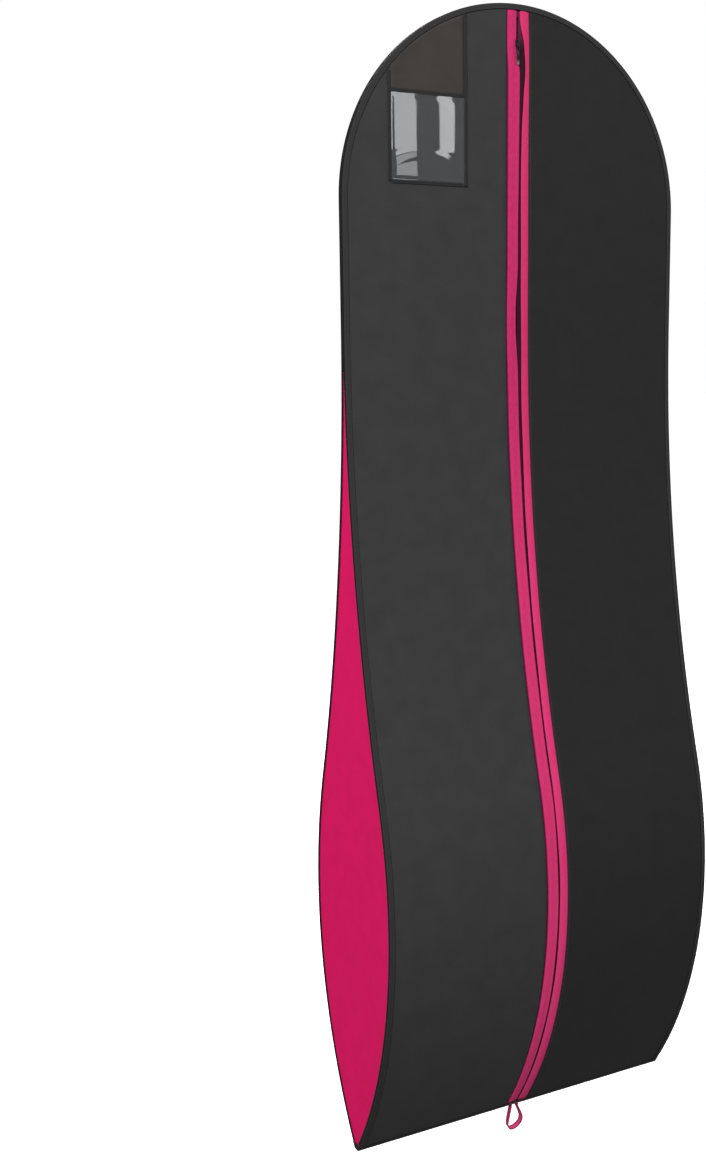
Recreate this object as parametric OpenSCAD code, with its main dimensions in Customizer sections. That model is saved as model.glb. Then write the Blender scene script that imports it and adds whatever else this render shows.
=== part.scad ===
// Hanging garment bag for a long gown: two cloth faces, tapered side gussets, a full-length
// front zip between two folded lips, a clear card window and a fold-up loop at the hem.
// Frame: origin at the hanger slit on top of the arch, +Z up, front face towards -Y, +X to the
// right of someone who faces the zip. Heights are negative because the bag hangs below its origin.

/* [Overall size] */
// Width over the bound side edges
bag_width = 610; // [560:5:640]
// Height from the top of the arch to the bottom seam
bag_height = 1830; // [1780:5:1860]
// Depth between the outer faces of the cloth where the faces are flat
edge_depth = 12; // [12:0.5:16]
// How far each face swells out beyond its flat plane at the fullest level
belly_swell = 128; // [110:1:135]
// Distance below the top at which the faces start to swell
swell_start = 492; // [485:1:520]
// Distance below the top of the fullest level
belly_drop = 1416; // [1390:1:1430]

/* [Cloth and edge tape] */
// Thickness of the panel cloth with its folded seams
cloth_t = 1; // [0.8:0.1:1.2]
// Thickness of the edge tape
tape_t = 1; // [0.8:0.1:1.2]
// Width of the edge tape on the face of a panel
tape_w = 9; // [7:0.5:12]
// Depth of the edge tape down the side, behind the face of a panel
tape_side = 6; // [5:0.5:6]
// Distance below the top at which the gusset cloth starts
gusset_start = 560; // [550:5:600]

/* [Zip] */
// Width of the gap between the two front panels
zip_gap = 41; // [36:1:46]
// Gap between the two folded lips
lip_gap = 3; // [2.8:0.1:3.4]
// Thickness of a lip
lip_t = 0.6; // [0.5:0.05:0.7]
// How far a lip runs under the edge of its panel
lip_tuck = 4; // [3:0.5:8]
// Width of one woven zip tape
zip_tape_w = 15; // [12:1:16]
// Thickness of a woven zip tape
zip_tape_t = 0.5; // [0.4:0.05:0.6]
// Gap between the two coils, where the slider's post runs
coil_gap = 2.4; // [2.2:0.1:2.6]
// Width of one coil
coil_w = 2.2; // [2:0.1:2.4]
// Depth of one coil
coil_d = 1.8; // [1.6:0.1:1.9]
// Distance below the top of the slider's middle, zip closed
slider_drop = 60; // [55:1:80]
// Length of the slider's body
slider_len = 15; // [13:0.5:17]
// Length of the pull tab from its pin to its tip
pull_len = 28; // [24:1:34]

/* [Card window] */
// Distance from the middle of the bag to the window's inner edge
window_in = 97; // [90:1:110]
// Width of the clear pane
window_w = 125.5; // [110:0.5:130]
// Height of the clear pane
window_h = 126; // [110:1:135]
// Distance below the top of the pane's upper edge
window_drop = 148; // [145:1:170]
// Width of the tape strips round the pane
strip_w = 6; // [5:0.5:8]

/* [Loop and hanger slit] */
// Outer width of the fold-up loop at its widest
loop_w = 30; // [28:1:36]
// Outer width of the loop at its swinging line, where its legs come together
loop_top_w = 14; // [12:1:18]
// Height of the loop from its swinging line to its lowest point
loop_h = 44; // [40:1:55]
// Width of the loop's tape
loop_tape_w = 10; // [8:0.5:12]
// Thickness of the loop's tape
loop_t = 1.6; // [1.2:0.1:2]
// Length of the slit for the hanger's hook
slit_len = 50; // [40:1:60]
// Clear width of the slit
slit_w = 8; // [7.5:0.5:8.5]

/* [Hidden] */

half_w = bag_width / 2;
edge_half = edge_depth / 2;
hem_drop = bag_height - tape_t;
arc_steps = 1440;
round_steps = 96;
reach = 400;
// The belly arc runs this far up inside the hollow arc's stretch, so that both make one shape.
turn_lap = 50;
// The side tape is forked below this distance under the start of the swell.
fork_drop = 40;

// Side profile: a flat line, a hollow arc and a belly arc, each tangent to the next.
belly_rise = hem_drop - belly_drop;
belly_r = (belly_rise * belly_rise + belly_swell * belly_swell) / (2 * belly_swell);
hollow_rise = belly_drop - swell_start;
belly_centre = belly_swell - belly_r;
hollow_r = (pow(hollow_rise, 2) + pow(belly_centre, 2) - pow(belly_r, 2)) / (2 * belly_swell);
// Share of the way between the two arc centres at which a skin moved out by grow turns over.
function turn_share(grow) = (hollow_r - grow) / (hollow_r + belly_r);
function turn_depth(grow) =
    edge_half + hollow_r + (belly_centre - hollow_r) * turn_share(grow);
function turn_level(grow) = -swell_start - hollow_rise * turn_share(grow);

// Depths behind the outer face of a panel, counted as growth of the profile.
lip_out = -cloth_t;
lip_in = lip_out - lip_t;
zip_tape_in = lip_in - zip_tape_t;
coil_in = zip_tape_in - coil_d;
// The lips' upper ends stop just under the slit patch.
lip_top_clear = 0.3;
lip_inset = tape_t + cloth_t + lip_top_clear;
// Depths of the slider's parts, as Y, in the flat upper stretch of the zip.
slide_clear = 0.3;
coil_clear = 0.4;
front_plate_back = -(edge_half + lip_out) - slide_clear;
front_plate_t = 1.2;
front_plate_face = front_plate_back - front_plate_t;
rear_plate_face = -(edge_half + coil_in) + coil_clear;
rear_plate_t = 1;
post_half = 0.9;
slider_half = 4;
crown_half = 1;
pin_r = 0.6;
pin_y = front_plate_face - 1;
pin_z = -slider_drop - 2;
pull_half = 2.5;
pull_t = 1;
pull_arm = 1;
pull_window = 7.5;
zip_top = 12;
stop_top = 16;
stop_len = 4;
zip_end = 1800;
bottom_stop_len = 6;
window_out = window_in + window_w;
strip_t = 0.8;
pane_t = 0.3;
header_t = 0.5;
// The loop swings on a line that lies half its tape's width and a small gap below the hem.
loop_clear = 1.5;
loop_line = -bag_height - loop_clear - loop_tape_w / 2;
tack_w = 26;
tack_h = 3;
tack_t = 0.6;
// The slit's cutting block reaches this far down and this far up from the top of the arch.
slit_down = 16;
slit_up = 8;
// The slit patch runs on past each end of the slit and reaches this far down.
patch_past = 8;
patch_down = 32;

// Half of the bag's side profile (depth across, height up), its skin moved out by grow.
module half_profile(grow) {
    difference() {
        translate([0, turn_level(grow)]) square([turn_depth(grow), -turn_level(grow)]);
        translate([edge_half + hollow_r, -swell_start]) circle(hollow_r - grow, $fn = arc_steps);
        translate([edge_half + grow, -swell_start]) square([reach, swell_start + 1]);
    }
    intersection() {
        translate([edge_half + belly_centre, -belly_drop]) circle(belly_r + grow, $fn = arc_steps);
        translate([0, -bag_height]) square([reach, bag_height + turn_level(grow) + turn_lap]);
    }
}

// A shape drawn as depth and height, set up between two places across the bag.
module across(x0, x1, front) {
    translate([x0, 0, 0]) rotate([90, 0, 90]) linear_extrude(x1 - x0)
        if (front) mirror([1, 0]) children();
        else children();
}

// A sheet between two growths of the profile, from x0 to x1, from low to high.
module skin(inner, outer, x0, x1, low, high, front = true) {
    across(x0, x1, front) intersection() {
        difference() {
            half_profile(outer);
            half_profile(inner);
        }
        translate([0, low]) square([reach, high - low]);
    }
}

// The bag's face outline, moved in by inset: a half circle on straight sides.
module outline(inset) {
    rotate([90, 0, 0]) linear_extrude(2 * reach, center = true) {
        translate([0, -half_w]) circle(half_w - inset, $fn = arc_steps);
        translate([inset - half_w, -bag_height]) square([bag_width - 2 * inset, bag_height - half_w]);
    }
}

module cut_to_outline(inset) {
    intersection() {
        children();
        outline(inset);
    }
}

// One face of the bag, between two places across it.
module panel(x0, x1, front) {
    cut_to_outline(tape_t) skin(-cloth_t, 0, x0, x1, -hem_drop, 0, front);
}

module back_panel() {
    color("#15161a") panel(-half_w, half_w, false);
}

module front_panel_left() {
    color("#3a3a3a") panel(-half_w, -zip_gap / 2, true);
}

module front_panel_right() {
    color("#343434") panel(zip_gap / 2, half_w, true);
}

// A gusset fills the side between the two faces, just inside the edge tape.
module gusset(x0) {
    across(x0, x0 + cloth_t, false)
        for (side = [0, 1]) mirror([side, 0]) intersection() {
            half_profile(-cloth_t);
            translate([0, -hem_drop]) square([reach, hem_drop - gusset_start]);
        }
}

module gusset_left() {
    color("#c61958") gusset(-half_w + tape_t);
}

module gusset_right() {
    color("#c61958") gusset(half_w - tape_t - cloth_t);
}

// Opening for the hanger's hook, cut through the patch on top of the arch.
module slit() {
    translate([-slit_len / 2, -slit_w / 2, -slit_down]) cube([slit_len, slit_w, slit_down + slit_up]);
}

// Edge tape of one face: the half of the folded tape that lies on the panel.
module edge_tape(front) {
    difference() {
        cut_to_outline(0) skin(0, tape_t, -half_w, half_w, tape_w - bag_height, 0, front);
        intersection() {
            outline(tape_w);
            translate([-reach, -reach, -bag_height - 1]) cube([2 * reach, 2 * reach, bag_height + 2]);
        }
    }
}

module edge_tape_front() {
    color("#333333") edge_tape(true);
}

module edge_tape_back() {
    color("#17181c") edge_tape(false);
}

// The half of the folded tapes that closes the side: one band on the arch, forked round the gusset.
module side_tape(x0, x1) {
    difference() {
        cut_to_outline(0) across(x0, x1, false)
            for (side = [0, 1]) mirror([side, 0]) difference() {
                intersection() {
                    half_profile(0);
                    translate([0, tape_w - bag_height]) square([reach, bag_height - tape_w]);
                }
                intersection() {
                    half_profile(-tape_side);
                    translate([0, -bag_height]) square([reach, bag_height - swell_start - fork_drop]);
                }
            }
        outline(tape_t);
    }
}

module side_tape_left() {
    color("#2b2b2c") side_tape(-half_w, -slit_len / 2);
}

module side_tape_right() {
    color("#2b2b2c") side_tape(slit_len / 2, half_w);
}

// One folded tape closes both faces and the gussets along the hem.
module bottom_tape() {
    color("#242424") for (front = [true, false])
        across(-half_w, half_w, front) difference() {
            intersection() {
                half_profile(tape_t);
                translate([0, -bag_height]) square([reach, tape_w]);
            }
            intersection() {
                half_profile(0);
                translate([0, -hem_drop]) square([reach, tape_w]);
            }
        }
}

// A lip lies under the panel's edge and is folded back at the slit.
module zip_lip_left() {
    color("#c03465") cut_to_outline(lip_inset)
        skin(lip_in, lip_out, -zip_gap / 2 - lip_tuck, -lip_gap / 2, -hem_drop, 0);
}

module zip_lip_right() {
    color("#d03c6b") cut_to_outline(lip_inset)
        skin(lip_in, lip_out, lip_gap / 2, zip_gap / 2 + lip_tuck, -hem_drop, 0);
}

module zip_tape_left() {
    color("#8c1f4a")
        skin(zip_tape_in, lip_in, -coil_gap / 2 - zip_tape_w, -coil_gap / 2, -hem_drop, -zip_top);
}

module zip_tape_right() {
    color("#8c1f4a")
        skin(zip_tape_in, lip_in, coil_gap / 2, coil_gap / 2 + zip_tape_w, -hem_drop, -zip_top);
}

// The coils are plain bars here, one on the back of each tape.
module zip_coil_left() {
    color("#5a1e3a") skin(coil_in, zip_tape_in, -coil_gap / 2 - coil_w, -coil_gap / 2,
        -zip_end, -stop_top - stop_len);
}

module zip_coil_right() {
    color("#5a1e3a") skin(coil_in, zip_tape_in, coil_gap / 2, coil_gap / 2 + coil_w,
        -zip_end, -stop_top - stop_len);
}

module zip_top_stops() {
    color("#9a9aa0") for (x0 = [-coil_gap / 2 - coil_w, coil_gap / 2])
        skin(coil_in, zip_tape_in, x0, x0 + coil_w, -stop_top - stop_len, -stop_top);
}

module zip_bottom_stop() {
    color("#9a9aa0") skin(coil_in, zip_tape_in, -coil_gap / 2 - coil_w, coil_gap / 2 + coil_w,
        -zip_end - bottom_stop_len, -zip_end);
}

// Slider: a front plate with a crown, a post between the coils and a rear plate with two flanges.
module zip_slider() {
    low = -slider_drop - slider_len / 2;
    high = low + slider_len;
    flange_in = coil_gap / 2 + coil_w + coil_clear;
    flange_t = 0.8;
    flange_face = -(edge_half + zip_tape_in) + coil_clear;
    post_len = 5;
    post_below = 1;
    crown_rise = 2.7;
    crown_t = 0.7;
    crown_len = 9;
    crown_low = pin_z - pin_r - coil_clear - crown_t;
    color("#101012") {
        translate([-slider_half, front_plate_face, low])
            cube([2 * slider_half, front_plate_t, slider_len]);
        translate([-post_half, front_plate_back, high - post_below - post_len])
            cube([2 * post_half, rear_plate_face - front_plate_back, post_len]);
        translate([-flange_in - flange_t, rear_plate_face, low])
            cube([2 * (flange_in + flange_t), rear_plate_t, slider_len]);
        for (x0 = [-flange_in - flange_t, flange_in])
            translate([x0, flange_face, low]) cube([flange_t, rear_plate_face - flange_face, slider_len]);
        difference() {
            translate([-crown_half, front_plate_face - crown_rise, crown_low])
                cube([2 * crown_half, crown_rise, crown_len]);
            translate([-reach, front_plate_face - crown_rise + crown_t, crown_low + crown_t])
                cube([2 * reach, crown_rise, crown_len - 2 * crown_t]);
        }
    }
}

// Pull tab: a pin under the crown, two arms past the crown and a flat tongue.
module zip_pull() {
    arm_r = 0.7;
    color("#2b2b2e") {
        translate([-pull_half, pin_y, pin_z]) rotate([0, 90, 0])
            cylinder(h = 2 * pull_half, r = pin_r, $fn = 48);
        for (x0 = [-pull_half, pull_half - pull_arm]) {
            translate([x0, pin_y, pin_z]) rotate([0, 90, 0])
                cylinder(h = pull_arm, r = arm_r, $fn = 48);
            translate([x0, pin_y - pull_t / 2, pin_z - pull_window])
                cube([pull_arm, pull_t, pull_window]);
        }
        translate([0, pin_y + pull_t / 2, 0]) rotate([90, 0, 0]) linear_extrude(pull_t) {
            translate([-pull_half, pin_z - pull_len + pull_half])
                square([2 * pull_half, pull_len - pull_window - pull_half]);
            translate([0, pin_z - pull_len + pull_half]) circle(pull_half, $fn = round_steps);
        }
    }
}

// A flat piece on the outer face of the left front panel, between two heights.
module on_face(x0, x1, low, high, under, over) {
    cut_to_outline(tape_w)
        translate([x0, -edge_half - over, low]) cube([x1 - x0, over - under, high - low]);
}

module window_pane() {
    color([0.75, 0.77, 0.8, 0.5])
        on_face(-window_out, -window_in, -window_drop - window_h, -window_drop, strip_t - pane_t, strip_t);
}

module window_header() {
    color("#42403e")
        on_face(-window_out, -window_in, -window_drop + strip_w, 0, 0, header_t);
}

module window_strip_inner() {
    color("#2c2c2c") on_face(-window_in, -window_in + strip_w,
        -window_drop - window_h - strip_w, 0, 0, strip_t);
}

module window_strip_outer() {
    color("#2c2c2c") on_face(-window_out - strip_w, -window_out,
        -window_drop - window_h - strip_w, 0, 0, strip_t);
}

module window_strip_top() {
    color("#2c2c2c") on_face(-window_out, -window_in, -window_drop, -window_drop + strip_w, 0, strip_t);
}

module window_strip_bottom() {
    color("#2c2c2c") on_face(-window_out, -window_in,
        -window_drop - window_h - strip_w, -window_drop - window_h, 0, strip_t);
}

// Doubled cloth under the edge tapes, round the hanger slit.
module hanger_slit_patch() {
    patch_half = slit_len / 2 + patch_past;
    inner_half = edge_half - cloth_t;
    color("#222222") difference() {
        intersection() {
            outline(tape_t);
            translate([-patch_half, -inner_half, -patch_down])
                cube([2 * patch_half, 2 * inner_half, patch_down]);
        }
        translate([0, 0, -half_w]) rotate([90, 0, 0])
            cylinder(h = bag_width, r = half_w - tape_t - cloth_t, center = true, $fn = arc_steps);
        slit();
    }
}

// Dense stitching that holds the loop's ends in the hem.
module loop_bar_tack() {
    color("#7c2346") skin(tape_t, tape_t + tack_t, -tack_w / 2, tack_w / 2,
        -bag_height + tack_h, -bag_height + 2 * tack_h);
}

// Loop: two legs that lean apart from round tops on the swinging line, and a ring below.
module bottom_loop() {
    ring_r = loop_w / 2;
    drop = loop_h - ring_r;
    top_half = loop_top_w / 2;
    // A leg's lean from upright, with its outer edge touching the ring.
    lean = asin(ring_r / norm([top_half, drop])) - atan(top_half / drop);
    leg_w = loop_t / cos(lean);
    radial = [cos(lean), sin(lean)];
    outer = [0, -drop] + ring_r * radial;
    inner = [0, -drop] + (ring_r - loop_t) * radial;
    past = [0, -drop] + loop_w * radial;
    color("#a8365f") {
        translate([0, 0, loop_line]) rotate([90, 0, 0])
            linear_extrude(loop_tape_w, center = true) {
                difference() {
                    translate([0, -drop]) circle(ring_r, $fn = round_steps);
                    translate([0, -drop]) circle(ring_r - loop_t, $fn = round_steps);
                    polygon([[0, -drop], past, [0, ring_r], [-past[0], past[1]]]);
                }
                for (side = [0, 1]) mirror([side, 0])
                    polygon([[top_half - leg_w, 0], [top_half, 0], outer, inner]);
            }
        for (x0 = [-top_half, top_half - leg_w])
            translate([x0, 0, loop_line]) rotate([0, 90, 0])
                cylinder(h = leg_w, r = loop_tape_w / 2, $fn = round_steps);
    }
}

back_panel();
front_panel_left();
front_panel_right();
gusset_left();
gusset_right();
edge_tape_front();
edge_tape_back();
side_tape_left();
side_tape_right();
bottom_tape();
zip_lip_left();
zip_lip_right();
zip_tape_left();
zip_tape_right();
zip_coil_left();
zip_coil_right();
zip_top_stops();
zip_bottom_stop();
zip_slider();
zip_pull();
window_pane();
window_header();
window_strip_inner();
window_strip_outer();
window_strip_top();
window_strip_bottom();
hanger_slit_patch();
loop_bar_tack();
bottom_loop();
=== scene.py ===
# Looks of a long hanging garment bag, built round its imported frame. Sizes are in metres and the
# axes are the frame's: origin at the hanger slit, +Z up, the zipped face towards -Y.
import math

import bmesh
import bpy
import numpy as np
from mathutils import Matrix, Vector


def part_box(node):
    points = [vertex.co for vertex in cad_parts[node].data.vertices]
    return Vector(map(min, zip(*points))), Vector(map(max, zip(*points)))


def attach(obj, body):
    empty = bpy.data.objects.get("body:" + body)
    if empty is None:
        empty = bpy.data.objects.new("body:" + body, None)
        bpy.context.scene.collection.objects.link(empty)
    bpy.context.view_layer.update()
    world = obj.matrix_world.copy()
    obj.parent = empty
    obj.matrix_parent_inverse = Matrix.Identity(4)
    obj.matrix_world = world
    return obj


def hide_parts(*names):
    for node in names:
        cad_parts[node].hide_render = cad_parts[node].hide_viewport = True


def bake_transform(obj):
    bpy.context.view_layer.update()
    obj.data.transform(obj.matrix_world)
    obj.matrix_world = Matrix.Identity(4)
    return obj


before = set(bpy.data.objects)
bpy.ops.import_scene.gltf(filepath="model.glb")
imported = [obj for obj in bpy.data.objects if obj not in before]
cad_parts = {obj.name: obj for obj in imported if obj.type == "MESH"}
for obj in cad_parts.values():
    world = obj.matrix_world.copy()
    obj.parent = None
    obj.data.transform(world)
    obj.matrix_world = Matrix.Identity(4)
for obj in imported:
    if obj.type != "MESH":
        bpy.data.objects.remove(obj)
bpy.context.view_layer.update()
bpy.ops.object.select_all(action="DESELECT")
mm = 0.001

# ---------------------------------------------------------------- the bag's own measures
HALF_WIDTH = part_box("edge_tape_front")[1][0]
HEM = -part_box("front_panel_left")[0][2]
BASE = -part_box("bottom_tape")[0][2]
EDGE = 6 * mm  # half the depth of the bag's flat upper part
FLAT_END = 492 * mm  # levels are measured down from the top
FULLEST = 1416 * mm
SWELL = 128 * mm
GUSSET_TOP = 560 * mm
ZIP_HALF = 20.5 * mm
folded_edge = {-1: ZIP_HALF, 1: ZIP_HALF + 1.4 * mm}
TAPE = 9 * mm
CLOTH = 0.8 * mm
PITCH = 4.2 * mm  # of the long stitches

belly_radius = ((HEM - FULLEST) ** 2 + SWELL**2) / (2 * SWELL)
belly_centre = SWELL - belly_radius
hollow_radius = ((FULLEST - FLAT_END) ** 2 + belly_centre**2 - belly_radius**2) / (2 * SWELL)
TURN = FLAT_END + (FULLEST - FLAT_END) * hollow_radius / (hollow_radius + belly_radius)


def swell(down):
    """How far a face stands out beyond its flat plane, at a distance below the top."""
    down = np.asarray(down, float)
    hollow = hollow_radius - np.sqrt(hollow_radius**2 - np.clip(down - FLAT_END, 0, 0.8) ** 2)
    belly = belly_centre + np.sqrt(np.maximum(belly_radius**2 - (down - FULLEST) ** 2, 0))
    return np.where(down < TURN, hollow, belly)


def lean(down):
    """Slope of the face there: the swell gained for each metre down."""
    down = np.asarray(down, float)
    past = np.clip(down - FLAT_END, 0, 0.8)
    hollow = past / np.sqrt(hollow_radius**2 - past**2)
    off = down - FULLEST
    belly = -off / np.sqrt(np.maximum(belly_radius**2 - off**2, 1e-6))
    return np.where(down < TURN, hollow, belly)


levels = np.linspace(0, BASE, 4000)
run = np.concatenate([[0], np.cumsum(np.hypot(1, lean((levels[1:] + levels[:-1]) / 2)) * np.diff(levels))])


def along(down):
    """Length of cloth from the top down to that level."""
    return np.interp(down, levels, run)


def down_at(length):
    """The level that lies that length of cloth from the top."""
    return np.interp(length, run, levels)


def half_width(down):
    """Half of the face's width at that level: a half circle on straight sides."""
    short = np.clip(HALF_WIDTH - np.asarray(down, float), 0, HALF_WIDTH)
    return np.sqrt(HALF_WIDTH**2 - short**2)


def on_face(side, x, down, out):
    """Places on a face, moved out from it. side is -1 for the zipped face and 1 for the back."""
    x, down, out = np.broadcast_arrays(np.asarray(x, float), down, out)
    tilt = lean(down)
    unit = 1 / np.hypot(1, tilt)
    return np.stack([x, side * (EDGE + swell(down) + out * unit), -down + out * tilt * unit], -1)


def smooth_step(value, low, high):
    t = np.clip((value - low) / (high - low), 0, 1)
    return t * t * (3 - 2 * t)


def soft_waves(x, down, seed):
    """Broad, low waves of hanging cloth, from -1 to 1."""
    total = 0
    for k in range(5):
        a = 2.4 * (k + 1) + seed
        reach_x, reach_z = 5.5 + 2.3 * k, 2.2 + 1.9 * k
        total = total + np.sin(reach_x * x + 1.7 * a) * np.sin(reach_z * down + 2.9 * a) / (1 + 0.5 * k)
    return total / 2.2


def pucker(length, depth_in, seed):
    """Fine gathers along a seam: full at the seam, gone a few centimetres in from it."""
    beat = 2 * math.pi * length / (31 * mm)
    wander = 1.3 * np.sin(length * 23 + seed) + 0.9 * np.sin(length * 61 + 2 * seed)
    return np.sin(beat + wander) * np.exp(-depth_in / (16 * mm))


def edge_gap(x, down):
    """Distance from a place on a face to the bag's outline, the hem included."""
    x, down = np.broadcast_arrays(np.asarray(x, float), np.asarray(down, float))
    arch = HALF_WIDTH - np.hypot(x, HALF_WIDTH - down)
    rim = np.where(down < HALF_WIDTH, arch, HALF_WIDTH - np.abs(x))
    return np.clip(np.minimum(rim, along(HEM) - along(down)), 0, None)


def front_lift(x, down):
    """How far the front cloth, padded out by what hangs behind it, stands off its plain shape.
    It lies flat under the tapes and beside the zip, and is fullest far from them."""
    outer = edge_gap(x, down)
    inner = np.abs(x) - ZIP_HALF
    side = np.where(x > 0, 3.1, 0.4)
    hold = smooth_step(inner, 2 * mm, 40 * mm) * smooth_step(outer, 9 * mm, 48 * mm)
    full = smooth_step(inner, 0, 130 * mm) * smooth_step(outer, 8 * mm, 130 * mm)
    near = smooth_step(outer, 9 * mm, 14 * mm)
    gathers = (pucker(down, inner, side) * 0.2 * mm * smooth_step(inner, 0.5 * mm, 6 * mm)
               + pucker(down, np.maximum(outer - TAPE, 0), side + 2) * 0.35 * mm) * near
    plain = full * 2.4 * mm + hold * soft_waves(x, down, side) * 1.1 * mm + gathers
    # The stiff vinyl and its tapes hold the cloth flat behind the card window, which lies
    # between 90 and 229 mm from the middle and between 141 and 281 mm down.
    taut = (smooth_step(x, -254 * mm, -229 * mm) * smooth_step(-x, 62 * mm, 90 * mm)
            * smooth_step(down, 116 * mm, 141 * mm) * smooth_step(-down, -312 * mm, -281 * mm))
    return plain + (0.8 * mm - plain) * taut


def back_lift(x, down):
    """The same for the back cloth, which is held only round its edge."""
    outer = edge_gap(x, down)
    hold = smooth_step(outer, 9 * mm, 50 * mm)
    near = smooth_step(outer, 9 * mm, 14 * mm)
    gathers = pucker(down, np.maximum(outer - TAPE, 0), 6) * 0.35 * mm * near
    return smooth_step(outer, 8 * mm, 180 * mm) * 2.2 * mm + hold * soft_waves(x, down, 5.2) * 1.1 * mm + gathers


# ---------------------------------------------------------------- finishes
def paint(hex_colour):
    """An sRGB hex colour as the linear one that the shaders take."""
    channels = [int(hex_colour[i : i + 2], 16) / 255 for i in (1, 3, 5)]
    return tuple(c / 12.92 if c <= 0.04045 else ((c + 0.055) / 1.055) ** 2.4 for c in channels) + (1,)


def add(tree, kind, values=None, links=None, **settings):
    """Adds a node: settings are its properties, values fill its sockets, links feed its sockets."""
    made = tree.nodes.new(kind)
    for key, value in settings.items():
        setattr(made, key, value)
    for key, value in (values or {}).items():
        made.inputs[key].default_value = value
    for key, source in (links or {}).items():
        tree.links.new(source, made.inputs[key])
    return made


def new_finish(name, **sockets):
    """A material with its tree and its shader; sockets such as roughness are set on the shader."""
    made = bpy.data.materials.new(name)
    made.use_nodes = True
    shader = made.node_tree.nodes["Principled BSDF"]
    for key, value in sockets.items():
        shader.inputs[key.replace("_", " ").title().replace("Ior", "IOR")].default_value = value
    return made, made.node_tree, shader


def join(tree, shader, colour=None, rough=None, height=None, strength=0.3, distance=0.1 * mm):
    if colour is not None:
        tree.links.new(colour, shader.inputs["Base Color"])
    if rough is not None:
        tree.links.new(rough, shader.inputs["Roughness"])
    if height is not None:
        bump = add(tree, "ShaderNodeBump", {"Strength": strength, "Distance": distance}, {"Height": height})
        tree.links.new(bump.outputs["Normal"], shader.inputs["Normal"])


def wave_scale(spacing):
    """The wave texture's scale for bands that many millimetres apart."""
    return math.pi / (20 * spacing * mm)


def spun_bonded(name, colour, shade, light, sheen=0.05, tint="#ffffff"):
    """Polypropylene fibres rolled into a sheet between warm rollers with small pips.
    The eye gets a dull, dry cloth with a fine pressed grain whose tops are painted lighter as a painted highlight,
    faint cloudy patches of denser fibre and a little sheen where it turns away."""
    made, tree, shader = new_finish(name, roughness=0.84, sheen_weight=sheen, sheen_roughness=0.45,
                                    sheen_tint=paint(tint), specular_ior_level=0.1)
    cut = add(tree, "ShaderNodeUVMap", uv_map="cut").outputs["UV"]
    # The rollers' pips stand 1.3 mm apart; they are drawn 1.9 mm apart, so that they show.
    pips = add(tree, "ShaderNodeTexVoronoi", {"Scale": 1 / (1.9 * mm), "Randomness": 0.18}, {"Vector": cut})
    pressed = add(tree, "ShaderNodeMapRange", {"From Min": 0.12, "From Max": 0.5},
                  {"Value": pips.outputs["Distance"]}, interpolation_type="SMOOTHSTEP").outputs["Result"]
    # Fibres are 0.02 mm thick and lie in bunches 0.5 mm across.
    fibres = add(tree, "ShaderNodeTexNoise", {"Scale": 1 / (0.5 * mm), "Detail": 3, "Roughness": 0.6},
                 {"Vector": cut}).outputs["Fac"]
    patches = add(tree, "ShaderNodeTexNoise", {"Scale": 1 / (38 * mm), "Detail": 4, "Roughness": 0.55},
                  {"Vector": cut}).outputs["Fac"]
    cloud = add(tree, "ShaderNodeMapRange", {"From Min": 0.3, "From Max": 0.7}, {"Value": patches}).outputs["Result"]
    grain = add(tree, "ShaderNodeMath", {1: 0.35}, {0: fibres}, operation="MULTIPLY_ADD")
    tree.links.new(cloud, grain.inputs[2])
    mixed = add(tree, "ShaderNodeMix", {6: paint(shade), 7: paint(colour)}, {0: grain.outputs[0]},
                data_type="RGBA").outputs[2]
    # Away from the pips the cloth is mixed towards its light colour: a painted highlight on the grain's tops.
    pitted = add(tree, "ShaderNodeMix", {7: paint(light)}, {6: mixed}, data_type="RGBA")
    tops = add(tree, "ShaderNodeMath", {1: 0.35}, {0: pressed}, operation="MULTIPLY")
    tree.links.new(tops.outputs[0], pitted.inputs[0])
    relief = add(tree, "ShaderNodeMath", {1: 0.7}, {0: fibres, 2: pressed}, operation="MULTIPLY_ADD")
    join(tree, shader, pitted.outputs[2], None, relief.outputs[0], 0.35, 0.14 * mm)
    return made


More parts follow.
